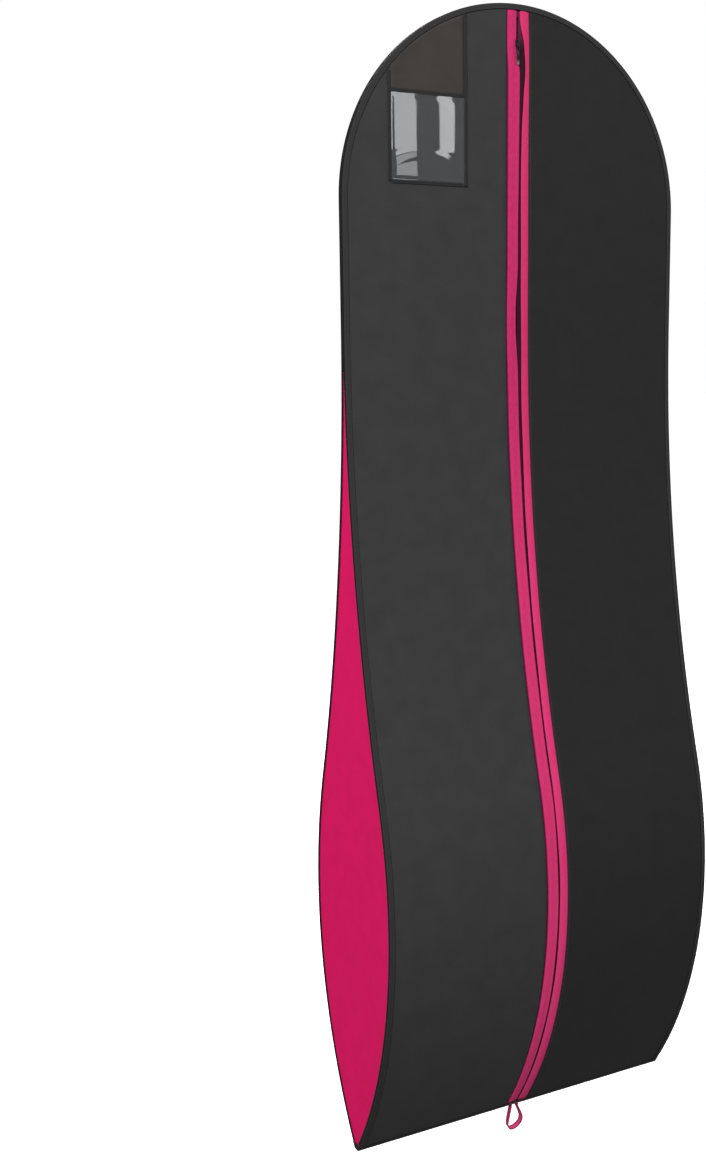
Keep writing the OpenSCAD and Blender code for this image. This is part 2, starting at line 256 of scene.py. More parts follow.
def woven_tape(name, colour, shade, worn, rib=0.9, across=1.4, wear_at=None, painted_shade_spans=(), painted_light_end=None):
    """Polyester yarn woven into a narrow ribbed tape. The eye gets fine ribs across it with painted shade in the gaps
    between them, a paler, fluffed line where it is folded, lines of painted shade where it is sewn or folded in, and
    a paler end that is painted light.
    rib and across are the yarn spacings in millimetres along and across the tape. wear_at,
    soiled and painted_light_end are places on the cut tape, in millimetres."""
    made, tree, shader = new_finish(name, roughness=0.74, sheen_weight=0.04, sheen_roughness=0.4,
                                    specular_ior_level=0.12)
    cut = add(tree, "ShaderNodeUVMap", uv_map="cut").outputs["UV"]
    place = add(tree, "ShaderNodeSeparateXYZ", links={"Vector": cut}).outputs
    ribs = add(tree, "ShaderNodeTexWave", {"Scale": wave_scale(rib), "Distortion": 0.6, "Detail": 1},
               {"Vector": cut}, wave_type="BANDS", bands_direction="Y").outputs["Fac"]
    warp = add(tree, "ShaderNodeTexWave", {"Scale": wave_scale(across), "Distortion": 0.4},
               {"Vector": cut}, wave_type="BANDS", bands_direction="X").outputs["Fac"]
    weave = add(tree, "ShaderNodeMath", {1: 0.5}, {0: warp, 2: ribs}, operation="MULTIPLY_ADD").outputs[0]
    fluff = add(tree, "ShaderNodeTexNoise", {"Scale": 1 / (1.1 * mm), "Detail": 4}, {"Vector": cut}).outputs["Fac"]
    # The gaps between the ribs are tinted with the shade colour: painted shade in the recesses.
    depth = add(tree, "ShaderNodeMapRange", {"From Min": 0.2, "From Max": 1.3}, {"Value": weave}).outputs["Result"]
    base = add(tree, "ShaderNodeMix", {6: paint(shade), 7: paint(colour)}, {0: depth}, data_type="RGBA").outputs[2]
    if wear_at is not None:
        near = add(tree, "ShaderNodeMath", {1: wear_at * mm, 2: 0.7 * mm}, {0: place["X"]},
                   operation="COMPARE").outputs[0]
        rubbed = add(tree, "ShaderNodeMath", {}, {0: near, 1: fluff}, operation="MULTIPLY").outputs[0]
        base = add(tree, "ShaderNodeMix", {7: paint(worn)}, {0: rubbed, 6: base}, data_type="RGBA").outputs[2]
    # These spans are tinted near black, as painted shade.
    for low, high in painted_shade_spans:
        centre, half = (low + high) / 2 * mm, (high - low) / 2 * mm
        inside = add(tree, "ShaderNodeMath", {1: centre, 2: half}, {0: place["X"]}, operation="COMPARE").outputs[0]
        base = add(tree, "ShaderNodeMix", {7: paint("#0e0e0f")}, {0: inside, 6: base}, data_type="RGBA").outputs[2]
    # From this place up, the tape's end is tinted paler: painted light where the tape shows in the slit above the
    # slider.
    if painted_light_end is not None:
        end = add(tree, "ShaderNodeMapRange", {"From Min": painted_light_end * mm, "From Max": painted_light_end * 0.7 * mm},
                  {"Value": place["Y"]}).outputs["Result"]
        base = add(tree, "ShaderNodeMix", {7: paint(worn)}, {0: end, 6: base}, data_type="RGBA").outputs[2]
    relief = add(tree, "ShaderNodeMath", {1: 0.5}, {0: fluff, 2: weave}, operation="MULTIPLY_ADD").outputs[0]
    join(tree, shader, base, None, relief, 0.45, 0.2 * mm)
    return made


def plain_weave(name, colour, shade, light, painted_shade_from):
    """Thin polyester lining in plain weave. The eye gets a soft pink cloth whose crossing yarns carry a painted
    highlight, with small slubs."""
    made, tree, shader = new_finish(name, roughness=0.66, sheen_weight=0.04, sheen_roughness=0.35,
                                    sheen_tint=paint("#e0407c"), specular_ior_level=0.1)
    cut = add(tree, "ShaderNodeUVMap", uv_map="cut").outputs["UV"]
    place = add(tree, "ShaderNodeSeparateXYZ", links={"Vector": cut}).outputs
    # The yarns are 0.25 mm apart; they are drawn 0.8 mm apart, so that they show.
    check = [add(tree, "ShaderNodeTexWave", {"Scale": wave_scale(0.8), "Distortion": 0.5}, {"Vector": cut},
                 wave_type="BANDS", bands_direction=way).outputs["Fac"] for way in "XY"]
    weave = add(tree, "ShaderNodeMath", {}, {0: check[0], 1: check[1]}, operation="MULTIPLY").outputs[0]
    stretched = add(tree, "ShaderNodeMapping", {"Scale": (1 / (1.2 * mm), 1 / (9 * mm), 1)},
                    {"Vector": cut}).outputs[0]
    slubs = add(tree, "ShaderNodeTexNoise", {"Scale": 1, "Detail": 3}, {"Vector": stretched}).outputs["Fac"]
    turn = add(tree, "ShaderNodeMapRange", {"From Min": 0.35, "From Max": 0.65}, {"Value": slubs}).outputs["Result"]
    base = add(tree, "ShaderNodeMix", {6: paint(shade), 7: paint(colour)}, {0: turn}, data_type="RGBA").outputs[2]
    # The yarns' crossings are mixed towards the light colour: a painted highlight.
    lit = add(tree, "ShaderNodeMath", {1: 0.4}, {0: weave}, operation="MULTIPLY").outputs[0]
    top = add(tree, "ShaderNodeMix", {7: paint(light)}, {0: lit, 6: base}, data_type="RGBA").outputs[2]
    # The pink is painted brighter from the waist down, and brightest at the hem: painted light on the lower part of
    # the lips.
    waist = add(tree, "ShaderNodeMapRange", {"From Min": 0.6, "From Max": 0.9, "To Max": 0.16},
                {"Value": place["Y"]}).outputs["Result"]
    skirt = add(tree, "ShaderNodeMapRange", {"From Min": 1.2, "From Max": 1.86, "To Max": 0.75},
                {"Value": place["Y"]}).outputs["Result"]
    painted_light_low = add(tree, "ShaderNodeMath", {}, {0: skirt, 1: waist}, operation="MAXIMUM").outputs[0]
    top = add(tree, "ShaderNodeMix", {7: paint("#fa4a8a")}, {0: painted_light_low, 6: top}, data_type="RGBA").outputs[2]
    # The edge that is sewn under the panel is tinted dark, as the panel's painted shadow, and so is a thin line along
    # the fold, as painted shade.
    sewn = add(tree, "ShaderNodeMapRange", {"From Min": painted_shade_from * mm, "From Max": (painted_shade_from + 2) * mm},
               {"Value": place["X"]}).outputs["Result"]
    folded = add(tree, "ShaderNodeMapRange", {"From Min": 0.9 * mm, "From Max": 0.1 * mm, "To Max": 0.45},
                 {"Value": place["X"]}).outputs["Result"]
    dark = add(tree, "ShaderNodeMath", {}, {0: sewn, 1: folded}, operation="MAXIMUM").outputs[0]
    top = add(tree, "ShaderNodeMix", {7: paint("#4a1029")}, {0: dark, 6: top}, data_type="RGBA").outputs[2]
    relief = add(tree, "ShaderNodeMath", {1: 0.6}, {0: slubs, 2: weave}, operation="MULTIPLY_ADD").outputs[0]
    join(tree, shader, top, None, relief, 0.3, 0.12 * mm)
    return made


def moulded(name, colour, shade, rough, **more):
    """Something cast, drawn or moulded, with a fine uneven skin: the eye gets a highlight that
    breaks up a little and a tone that drifts over the surface."""
    made, tree, shader = new_finish(name, **more)
    place = add(tree, "ShaderNodeTexCoord").outputs["Object"]
    skin = add(tree, "ShaderNodeTexNoise", {"Scale": 1 / (0.6 * mm), "Detail": 4}, {"Vector": place}).outputs["Fac"]
    drift = add(tree, "ShaderNodeTexNoise", {"Scale": 1 / (4 * mm), "Detail": 3}, {"Vector": place}).outputs["Fac"]
    tone = add(tree, "ShaderNodeMapRange", {"From Min": 0.35, "From Max": 0.65}, {"Value": drift}).outputs["Result"]
    base = add(tree, "ShaderNodeMix", {6: paint(shade), 7: paint(colour)}, {0: tone}, data_type="RGBA").outputs[2]
    dull = add(tree, "ShaderNodeMapRange", {"To Min": rough * 0.75, "To Max": rough * 1.3},
               {"Value": skin}).outputs["Result"]
    join(tree, shader, base, dull, skin, 0.12, 0.05 * mm)
    return made


def sewing_thread(name, colour, shade):
    """Twisted polyester thread: the eye gets a soft gloss and slanting plies, with painted shade between them."""
    made, tree, shader = new_finish(name, roughness=0.5, sheen_weight=0.2, specular_ior_level=0.4)
    place = add(tree, "ShaderNodeTexCoord").outputs["Object"]
    turned = add(tree, "ShaderNodeMapping", {"Rotation": (0.6, 0.4, 0.8)}, {"Vector": place}).outputs[0]
    # The plies turn every 0.5 mm; the bands between them are tinted darker, as painted shade.
    plies = add(tree, "ShaderNodeTexWave", {"Scale": wave_scale(0.5)}, {"Vector": turned},
                wave_type="BANDS").outputs["Fac"]
    base = add(tree, "ShaderNodeMix", {6: paint(shade), 7: paint(colour)}, {0: plies}, data_type="RGBA").outputs[2]
    join(tree, shader, base, None, plies, 0.5, 0.06 * mm)
    return made


# The two front halves are cut from one charcoal cloth: the left copy is painted lighter and the right copy darker, as
# painted light and shade.
charcoal_painted_light_left = spun_bonded("spun_bonded_charcoal_painted_light_left", "#333333", "#2d2d2d", "#3b3b3b")
charcoal_painted_shade_right = spun_bonded("spun_bonded_charcoal_painted_shade_right", "#232323", "#1f1f1f", "#292929")
black_cloth = spun_bonded("spun_bonded_black", "#08090c", "#050609", "#0e0f13", 0.03)
pink_cloth = spun_bonded("spun_bonded_pink", "#ce0f59", "#c30c52", "#d61761", 0.05, "#ff5090")
header_cloth = spun_bonded("spun_bonded_header", "#383532", "#312e2b", "#3f3c39")
patch_cloth = spun_bonded("spun_bonded_patch", "#1c1c1d", "#151516", "#242425", 0.03)
# The front binding is tinted near black at its inner edge and on its folded side wall, and the back binding at its
# inner edge: painted shade.
edge_woven = woven_tape("ribbed_tape_charcoal", "#343434", "#252525", "#4a4a4a", painted_shade_spans=((-0.1, 1.2), (9.9, 16.4)))
back_woven = woven_tape("ribbed_tape_black", "#141518", "#090a0c", "#3c3d40", painted_shade_spans=((-0.1, 0.75),))
strip_woven = woven_tape("ribbed_tape_window", "#2b2b2c", "#181819", "#4a4a4b", rib=0.8)
hem_woven = woven_tape("ribbed_tape_hem", "#222223", "#151516", "#3c3c3e", wear_at=9.6)
# The zip tape is pink; it is tinted dark maroon as painted shade in the slit, and its upper end is tinted paler as
# painted light.
zip_woven = woven_tape("zip_tape_painted_shade_maroon", "#34101f", "#1b070f", "#4e1d30", rib=0.7, across=1.1, painted_light_end=66)
loop_woven = woven_tape("loop_tape_pink", "#b43164", "#80204a", "#d0668c", rib=0.9, across=1.2, wear_at=5)
# The two lips are one pink lining: the right one is tinted a little lighter than the left, as painted light.
lip_left_cloth = plain_weave("lining_pink_left", "#c02a60", "#b02056", "#cc4474", 15.7)
lip_right_cloth = plain_weave("lining_pink_right", "#ca2f66", "#bc285b", "#d54b7a", 17.4)
# The coils are pink nylon, tinted dark maroon as painted shade in the slit.
coil_nylon = moulded("drawn_nylon_painted_shade_maroon", "#3d0f22", "#290817", 0.34, ior=1.53)
stop_metal = moulded("pressed_aluminium", "#a9aaae", "#8d8e93", 0.34, metallic=1.0)
thin_enamel = dict(coat_weight=0.1, coat_roughness=0.25, specular_ior_level=0.25)
slider_enamel = moulded("enamelled_zinc_black", "#0d0d0f", "#080809", 0.45, **thin_enamel)
edge_thread = sewing_thread("sewing_thread_charcoal", "#3c3c3e", "#232324")
back_thread = sewing_thread("sewing_thread_black", "#1d1e21", "#0e0f10")
pink_thread = sewing_thread("sewing_thread_pink", "#b53566", "#7c1f43")
tack_thread = sewing_thread("satin_stitch_maroon", "#8d2a50", "#5f1735")


def pull_finish():
    """Enamelled zinc whose enamel has worn thin at the tip that fingers hold: black above, and a
    paler, smoother grey metal towards the lower end."""
    made, tree, shader = new_finish("enamelled_zinc_worn", **thin_enamel)
    place = add(tree, "ShaderNodeTexCoord").outputs["Object"]
    height = add(tree, "ShaderNodeSeparateXYZ", links={"Vector": place}).outputs["Z"]
    skin = add(tree, "ShaderNodeTexNoise", {"Scale": 1 / (1.4 * mm), "Detail": 4}, {"Vector": place}).outputs["Fac"]
    ragged = add(tree, "ShaderNodeMath", {1: 5 * mm}, {0: skin, 2: height}, operation="MULTIPLY_ADD").outputs[0]
    worn = add(tree, "ShaderNodeMapRange", {"From Min": -80 * mm, "From Max": -88 * mm},
               {"Value": ragged}).outputs["Result"]
    base = add(tree, "ShaderNodeMix", {6: paint("#121214"), 7: paint("#807c7e")}, {0: worn},
               data_type="RGBA").outputs[2]
    dull = add(tree, "ShaderNodeMapRange", {"To Min": 0.38, "To Max": 0.55}, {"Value": skin}).outputs["Result"]
    tree.links.new(worn, shader.inputs["Metallic"])
    join(tree, shader, base, dull, skin, 0.1, 0.05 * mm)
    return made


def vinyl_finish():
    """Soft clear vinyl calendered into a thin sheet: clear, wet-looking, and never quite flat, so
    that straight reflections bend in it."""
    made, tree, shader = new_finish("clear_soft_vinyl", roughness=0.012, ior=1.52, transmission_weight=0.98,
                                    base_color=paint("#eef0f2"))
    cut = add(tree, "ShaderNodeUVMap", uv_map="cut").outputs["UV"]
    # Slack of a few centimetres' wavelength, and the rollers' faint orange peel.
    slack = add(tree, "ShaderNodeTexNoise", {"Scale": 1 / (48 * mm), "Detail": 1}, {"Vector": cut}).outputs["Fac"]
    peel = add(tree, "ShaderNodeTexNoise", {"Scale": 1 / (5 * mm), "Detail": 2}, {"Vector": cut}).outputs["Fac"]
    high = add(tree, "ShaderNodeMath", {1: 0.05}, {0: peel, 2: slack}, operation="MULTIPLY_ADD").outputs[0]
    join(tree, shader, None, None, high, 0.25, 0.1 * mm)
    return made


def ink_finish():
    """Screen-printing ink squeezed into the cloth: a flat bright pink, a little smoother than the
    cloth, with pinholes where fibres stood up."""
    made, tree, shader = new_finish("screen_ink_pink", roughness=0.62, specular_ior_level=0.35)
    cut = add(tree, "ShaderNodeUVMap", uv_map="cut").outputs["UV"]
    skin = add(tree, "ShaderNodeTexNoise", {"Scale": 1 / (0.9 * mm), "Detail": 4}, {"Vector": cut}).outputs["Fac"]
    thin = add(tree, "ShaderNodeMapRange", {"From Min": 0.3, "From Max": 0.48}, {"Value": skin}).outputs["Result"]
    base = add(tree, "ShaderNodeMix", {6: paint("#b3104a"), 7: paint("#ee1a66")}, {0: thin},
               data_type="RGBA").outputs[2]
    join(tree, shader, base, None, skin, 0.3, 0.06 * mm)
    return made


pull_enamel = pull_finish()
clear_vinyl = vinyl_finish()
print_ink = ink_finish()


# ---------------------------------------------------------------- making pieces
def dress(made, finish, body="bag", stands_for=(), smooth=True):
    """Gives a new piece its finish, the body it moves with and the nodes it stands for."""
    made.data.materials.clear()
    made.data.materials.append(finish)
    for face in made.data.polygons:
        face.use_smooth = smooth
    if stands_for:
        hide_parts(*stands_for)
    if body:
        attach(made, body)
    return made


def lay_mesh(name, points, cut, wrap=False, flip=False, capped=False):
    """A mesh from rows of points. cut holds each point's place on the flat cut cloth, in metres,
    with one more column than points where the rows close on themselves."""
    rows, cols = points.shape[:2]
    r, c = np.meshgrid(np.arange(rows - 1), np.arange(cols if wrap else cols - 1), indexing="ij")
    nxt = (c + 1) % cols
    corners = np.stack([r * cols + c, r * cols + nxt, (r + 1) * cols + nxt, (r + 1) * cols + c], -1).reshape(-1, 4)
    spots = np.stack([cut[r, c], cut[r, c + 1], cut[r + 1, c + 1], cut[r + 1, c]], 2).reshape(-1, 4, 2)
    if flip:
        corners, spots = corners[:, ::-1], spots[:, ::-1]
    faces = corners.tolist()
    flat = list(spots.reshape(-1, 2))
    if capped:
        for row in (0, rows - 1):
            faces.append([row * cols + k for k in range(cols)])
            flat += list(cut[row, :cols])
    mesh = bpy.data.meshes.new(name)
    mesh.from_pydata(points.reshape(-1, 3).tolist(), [], faces)
    layer = mesh.uv_layers.new(name="cut")
    layer.data.foreach_set("uv", np.array(flat, np.float32).ravel())
    if wrap:
        shape = bmesh.new()
        shape.from_mesh(mesh)
        bmesh.ops.recalc_face_normals(shape, faces=shape.faces)
        shape.to_mesh(mesh)
        shape.free()
    made = bpy.data.objects.new(name, mesh)
    bpy.context.collection.objects.link(made)
    return made


def thicken(made, thickness):
    """Gives an open sheet its thickness, on its inner side."""
    wall = made.modifiers.new("thickness", "SOLIDIFY")
    wall.thickness, wall.offset = thickness, -1
    wall.use_even_offset = False
    return made


def mean_run(steps):
    """Distance along a line of points, at each of them."""
    return np.concatenate([[0], np.cumsum(np.linalg.norm(np.diff(steps, axis=0), axis=1))])


def section_run(section):
    """Distance round a closed cross-section, with its closing step."""
    return mean_run(np.vstack([section, section[:1]]))


def unrolled(around, lengths):
    """The cut cloth's places for rows at those lengths, each with the same places around it."""
    lengths, around = np.meshgrid(lengths, around, indexing="ij")
    return np.stack([around, lengths], -1)


# Levels for the faces' rows: even steps of angle on the arch, even steps of cloth below it.
arch_rows = HALF_WIDTH * (1 - np.cos(np.linspace(0, math.pi / 2, 46)))
side_rows = down_at(np.linspace(along(HALF_WIDTH), along(HEM), 200))[1:]
face_rows = np.concatenate([arch_rows, side_rows])

# ---- back cloth
inset = 1.2 * mm
share = np.linspace(-1, 1, 91)
down = face_rows.copy()
down[0] = inset
width = np.maximum(half_width(np.maximum(down, inset)) - inset, 6 * mm)
X = width[:, None] * share[None, :]
D = np.repeat(down[:, None], share.size, 1)
points = on_face(1, X, D, back_lift(X, D) - 0.05 * mm)
cut = np.stack([X, along(D)], -1)
back_cloth = dress(thicken(lay_mesh("back_cloth", points, cut), CLOTH), black_cloth,
                   stands_for=["back_panel"])

# ---- front cloths
share = np.linspace(0, 1, 49)
for side, name, finish in ((-1, "left", charcoal_painted_light_left), (1, "right", charcoal_painted_shade_right)):
    start = HALF_WIDTH - math.sqrt(HALF_WIDTH**2 - (ZIP_HALF + 3 * mm) ** 2) + inset
    down = np.concatenate([[start], face_rows[face_rows > start + 2 * mm]])
    width = np.maximum(half_width(down) - inset - folded_edge[side], 2 * mm)
    X = side * (folded_edge[side] + width[:, None] * share[None, :])
    D = np.repeat(down[:, None], share.size, 1)
    points = on_face(-1, X, D, front_lift(X, D) - 0.05 * mm)
    cut = np.stack([X, along(D)], -1)
    made = lay_mesh(f"front_cloth_{name}", points, cut, flip=side > 0)
    dress(thicken(made, CLOTH), finish, stands_for=[f"front_panel_{name}"])

# ---- gusset cloths
share = np.linspace(-1, 1, 41)
down = down_at(np.linspace(along(GUSSET_TOP), along(HEM - 6 * mm), 150))
for side, name in ((-1, "left"), (1, "right")):
    reach = EDGE + swell(down) - 1.2 * mm
    Y = reach[:, None] * share[None, :]
    D = np.repeat(down[:, None], share.size, 1)
    sag = (1 - share[None, :] ** 2) * np.minimum(reach[:, None] / (130 * mm), 1)
    edge_in = (1 - np.abs(share[None, :])) * reach[:, None]
    waves = soft_waves(Y * 2, D, 8 + side) * 1.3 * mm * np.minimum(edge_in / (30 * mm), 1)
    waves = waves + pucker(D, edge_in, 3 + side) * 0.3 * mm * np.minimum(reach[:, None] / (20 * mm), 1)
    X = side * (HALF_WIDTH - 1.3 * mm - 3.2 * mm * sag + waves * 0.7)
    points = np.stack([X, Y, -D], -1)
    cut = np.stack([Y, D], -1)
    made = lay_mesh(f"gusset_cloth_{name}", points, cut, flip=side > 0)
    dress(thicken(made, CLOTH), pink_cloth, stands_for=[f"gusset_{name}"])


# ---- tapes folded over the edges
def rim(length):
    """A place on the bag's outline, by its distance from the lower left end of the edge tape:
    the level, the angle from the top of the arch and the side."""
    arch = math.pi * HALF_WIDTH
    straight = along(BASE - TAPE) - along(HALF_WIDTH)
    length = np.asarray(length, float)
    left = np.clip(straight - length, 0, None)
    right = np.clip(length - straight - arch, 0, None)
    angle = np.clip((length - straight) / HALF_WIDTH, 0, math.pi) - math.pi / 2
    return angle, left + right


RIM_LENGTH = 2 * float(along(BASE - TAPE) - along(HALF_WIDTH)) + math.pi * HALF_WIDTH


def on_rim(side, length, inward, out):
    """Places near the outline: inward from it, and out from the face."""
    length, inward, out = np.broadcast_arrays(np.asarray(length, float), inward, out)
    angle, below = rim(length)
    radius = HALF_WIDTH - inward
    x = radius * np.sin(angle)
    down = np.where(below > 0, down_at(along(HALF_WIDTH) + below), HALF_WIDTH - radius * np.cos(angle))
    return on_face(side, x, down, out)


fold_section = np.array([(9.0, 0.1), (8.95, 0.62), (8.7, 0.9), (8.0, 1.0), (5.5, 1.06), (3.0, 1.04), (1.5, 0.96),
                         (0.62, 0.7), (0.16, 0.2), (0.0, -0.6), (0.0, -2.4), (0.02, -4.2), (0.08, -5.5), (0.4, -5.85),
                         (0.85, -5.6), (0.95, -3.0), (0.98, -0.4), (1.3, 0.02), (5.0, 0.06)]) * mm
for side, name, finish in ((-1, "front", edge_woven), (1, "back", back_woven)):
    steps = np.linspace(0, RIM_LENGTH, 620)
    q = np.repeat(fold_section[None, :, 0], steps.size, 0)
    out = np.repeat(fold_section[None, :, 1], steps.size, 0)
    L = np.repeat(steps[:, None], fold_section.shape[0], 1)
    on_top = (fold_section[:, 1] > 0.5 * mm)[None, :]
    ease = np.sin(2 * math.pi * L / (13 * mm) + 2 * np.sin(L * 19)) * 0.09 * mm
    out = out + ease * on_top
    q = q + np.sin(L * 41 + side) * 0.12 * mm * (q > 6 * mm)
    points = on_rim(side, L, q, out)
    cut = unrolled(section_run(fold_section), steps)
    made = lay_mesh(f"edge_binding_{name}", points, cut, wrap=True, capped=True)
    dress(made, finish, stands_for=[f"edge_tape_{name}", "side_tape_left", "side_tape_right"])


# ---- stitches: one is modelled, the rows are copies of it
def one_stitch(length, thick):
    """A short thread, thick in the middle, its ends dipping into the cloth. It lies along X."""
    bpy.ops.mesh.primitive_cylinder_add(vertices=6, radius=thick / 2, depth=length, rotation=(0, math.pi / 2, 0))
    made = bpy.context.object
    bpy.ops.object.transform_apply(location=False, rotation=True, scale=True)
    bpy.ops.object.mode_set(mode="EDIT")
    for cut_at in (-0.25, 0.25):
        bpy.ops.mesh.select_all(action="SELECT")
        bpy.ops.mesh.bisect(plane_co=(cut_at * length, 0, 0), plane_no=(1, 0, 0))
    pick(lambda v: abs(v.co.x) > 0.45 * length, "VERT")
    bpy.ops.transform.translate(value=(0, 0, -0.55 * thick))
    bpy.ops.transform.resize(value=(1, 0.6, 0.6))
    bpy.ops.object.mode_set(mode="OBJECT")
    shape = np.array([v.co for v in made.data.vertices])
    faces = [list(f.vertices) for f in made.data.polygons]
    bpy.data.objects.remove(made)
    return shape, faces


def pick(test, kind="FACE"):
    """In edit mode, selects the faces, edges or corners that pass a test, and nothing else."""
    bpy.ops.mesh.select_mode(type=kind)
    bpy.ops.mesh.select_all(action="DESELECT")
    mesh = bpy.context.object.data
    shape = bmesh.from_edit_mesh(mesh)
    for part in {"FACE": shape.faces, "EDGE": shape.edges, "VERT": shape.verts}[kind]:
        if test(part):
            part.select_set(True)
    shape.select_flush_mode()
    bmesh.update_edit_mesh(mesh)


def copies(name, one, origins, ahead, up, stretch=None):
    """Copies of a small shape as one mesh: its X goes ahead, its Z goes up, at each origin."""
    shape, faces = one
    ahead = ahead / np.linalg.norm(ahead, axis=1, keepdims=True)
    up = up - (up * ahead).sum(1, keepdims=True) * ahead
    up = up / np.linalg.norm(up, axis=1, keepdims=True)
    sideways = np.cross(up, ahead)
    local = np.repeat(shape[None], len(origins), 0)
    if stretch is not None:
        local = local * stretch[:, None, :]
    placed = (origins[:, None, :] + local[..., :1] * ahead[:, None] + local[..., 1:2] * sideways[:, None]
              + local[..., 2:] * up[:, None])
    count = len(shape)
    all_faces = [[k + n * count for k in f] for n in range(len(origins)) for f in faces]
    mesh = bpy.data.meshes.new(name)
    mesh.from_pydata(placed.reshape(-1, 3).tolist(), [], all_faces)
    made = bpy.data.objects.new(name, mesh)
    bpy.context.collection.objects.link(made)
    return made


def stitched(name, line, lift, pitch, one, finish, body="bag"):
    """A row of stitches along a line of places; lift gives the way up at each of them."""
    lengths = mean_run(line)
    at = np.arange(pitch / 2, lengths[-1], pitch)
    spots = np.stack([np.interp(at, lengths, line[:, k]) for k in range(3)], 1)
    ahead = np.stack([np.interp(at + 0.5 * mm, lengths, line[:, k]) - np.interp(at - 0.5 * mm, lengths, line[:, k])
                      for k in range(3)], 1)
    up = np.stack([np.interp(at, lengths, lift[:, k]) for k in range(3)], 1)
    return dress(copies(name, one, spots, ahead, up), finish, body)


def stitched_on_face(name, side, x, down, out, pitch, one, finish):
    """A row of stitches on a face, at places across and down, that far out from it."""
    line = on_face(side, x, down, out)
    stitched(name, line, on_face(side, x, down, out + 2 * mm) - line, pitch, one, finish)


long_stitch = one_stitch(3.1 * mm, 0.5 * mm)
short_stitch = one_stitch(2.4 * mm, 0.45 * mm)
for side, name, thread in ((-1, "front", edge_thread), (1, "back", back_thread)):
    steps = np.arange(0, RIM_LENGTH, 4 * mm)
    line = on_rim(side, steps, 7.3 * mm, 1.06 * mm)
    stitched(f"edge_stitches_{name}", line, on_rim(side, steps, 7.3 * mm, 3 * mm) - line, PITCH, long_stitch,
             thread)

# ---- hem tape, folded over both faces and the gussets' ends
flange = np.array([HEM - 8 * mm, HEM - 7.6 * mm, HEM - 5 * mm, HEM - 2 * mm, HEM - 0.2 * mm])
front_outer = on_face(-1, 0, flange, np.array([0.55, 0.95, 1.05, 1.0, 0.95]) * mm)
front_inner = on_face(-1, 0, flange[::-1], np.array([0.04, 0.05, 0.05, 0.05, 0.05]) * mm)
bend = np.array([(0, -EDGE - 0.6 * mm, -BASE + 0.15 * mm), (0, -EDGE + 1 * mm, -BASE), (0, 0, -BASE - 0.1 * mm),
                 (0, EDGE - 1 * mm, -BASE), (0, EDGE + 0.6 * mm, -BASE + 0.15 * mm)])
bend_inner = np.array([(0, EDGE - 0.5 * mm, -HEM - 0.1 * mm), (0, 0, -HEM - 0.2 * mm),
                       (0, -EDGE + 0.5 * mm, -HEM - 0.1 * mm)])
mirror = np.array([1, -1, 1])
section = np.vstack([front_outer, bend, front_outer[::-1] * mirror, front_inner[::-1] * mirror, bend_inner,
                     front_inner])
xs = np.linspace(-HALF_WIDTH + 0.1 * mm, HALF_WIDTH - 0.1 * mm, 180)
ease = np.sin(2 * math.pi * xs / (14 * mm) + 2 * np.sin(xs * 23)) * 0.08 * mm
points = np.repeat(section[None], xs.size, 0)
points[..., 0] = xs[:, None]
outer = np.zeros(len(section), bool)
outer[: len(front_outer) - 1] = True
outer[len(front_outer) + len(bend) + 1 : 2 * len(front_outer) + len(bend)] = True
points[..., 1] += ease[:, None] * outer[None, :] * np.sign(points[..., 1])
cut = unrolled(section_run(section), xs)
dress(lay_mesh("hem_tape", points, cut, wrap=True, capped=True), hem_woven,
      stands_for=["bottom_tape"])
# Its ends are tucked in over the gussets' lower ends.
ring = np.vstack([front_outer, bend, front_outer[::-1] * mirror])
centre = ring.mean(0)
for side, name in ((-1, "left"), (1, "right")):
    rows_ = []
    for scale, x in ((1.0, 304.2), (0.99, 304.85), (0.9, 305.0), (0.5, 305.05), (0.02, 305.05)):
        row = centre + (ring - centre) * scale
        row[:, 0] = side * x * mm
        rows_.append(row)
    points = np.array(rows_)
    cut = np.concatenate([points[..., 1:], points[:, :1, 1:]], 1)
    made = lay_mesh(f"hem_end_{name}", points, cut, wrap=True)
    if (made.data.polygons[-3].normal.x > 0) != (side > 0):
        made.data.flip_normals()
    dress(made, hem_woven)
for side, name in ((-1, "front"), (1, "back")):
    xs = np.arange(-HALF_WIDTH + 3 * mm, HALF_WIDTH - 3 * mm, 4 * mm)
    stitched_on_face(f"hem_stitches_{name}", side, xs, HEM - 6.2 * mm, 1.05 * mm, PITCH, long_stitch,
                     edge_thread if side < 0 else back_thread)

# ---- zip: lips, tapes, coils
# Where each lip's folded edge runs: levels down and places across, in millimetres.
fold_keys = {
    -1: ([0, 40, 56, 72, 84, 98, 120, 185, 250, 400, 455, 502, 560, 900, 1250, 1500, 1700, 1830],
         [-1.4, -1.4, -2.0, -1.4, 2.4, 5.4, 5.2, 4.4, 3.6, 2.2, -1.3, -1.3, 2.2, 3.2, 3.6, 2.4, 0.4, -0.8]),
    1: ([0, 28, 40, 52, 80, 95, 110, 140, 185, 240, 330, 520, 900, 1150, 1500, 1700, 1830],
        [4.2, 4.8, 7.6, 11.6, 14.4, 15.0, 14.2, 11.6, 8.6, 7.4, 7.2, 8.2, 7.0, 6.2, 5.6, 3.8, 2.6]),
}


def fold_at(side, down):
    """Where a lip's folded edge runs, as x: pushed open round the slider and slack below it."""
    levels_, places = fold_keys[side]
    near = [np.interp(down / mm + step, levels_, places) for step in (-10, -6, -2, 2, 6, 10)]
    return sum(near) / len(near) * mm + 0.25 * mm * np.sin(down * 37 + side) * smooth_step(down, 0.2, 0.3)


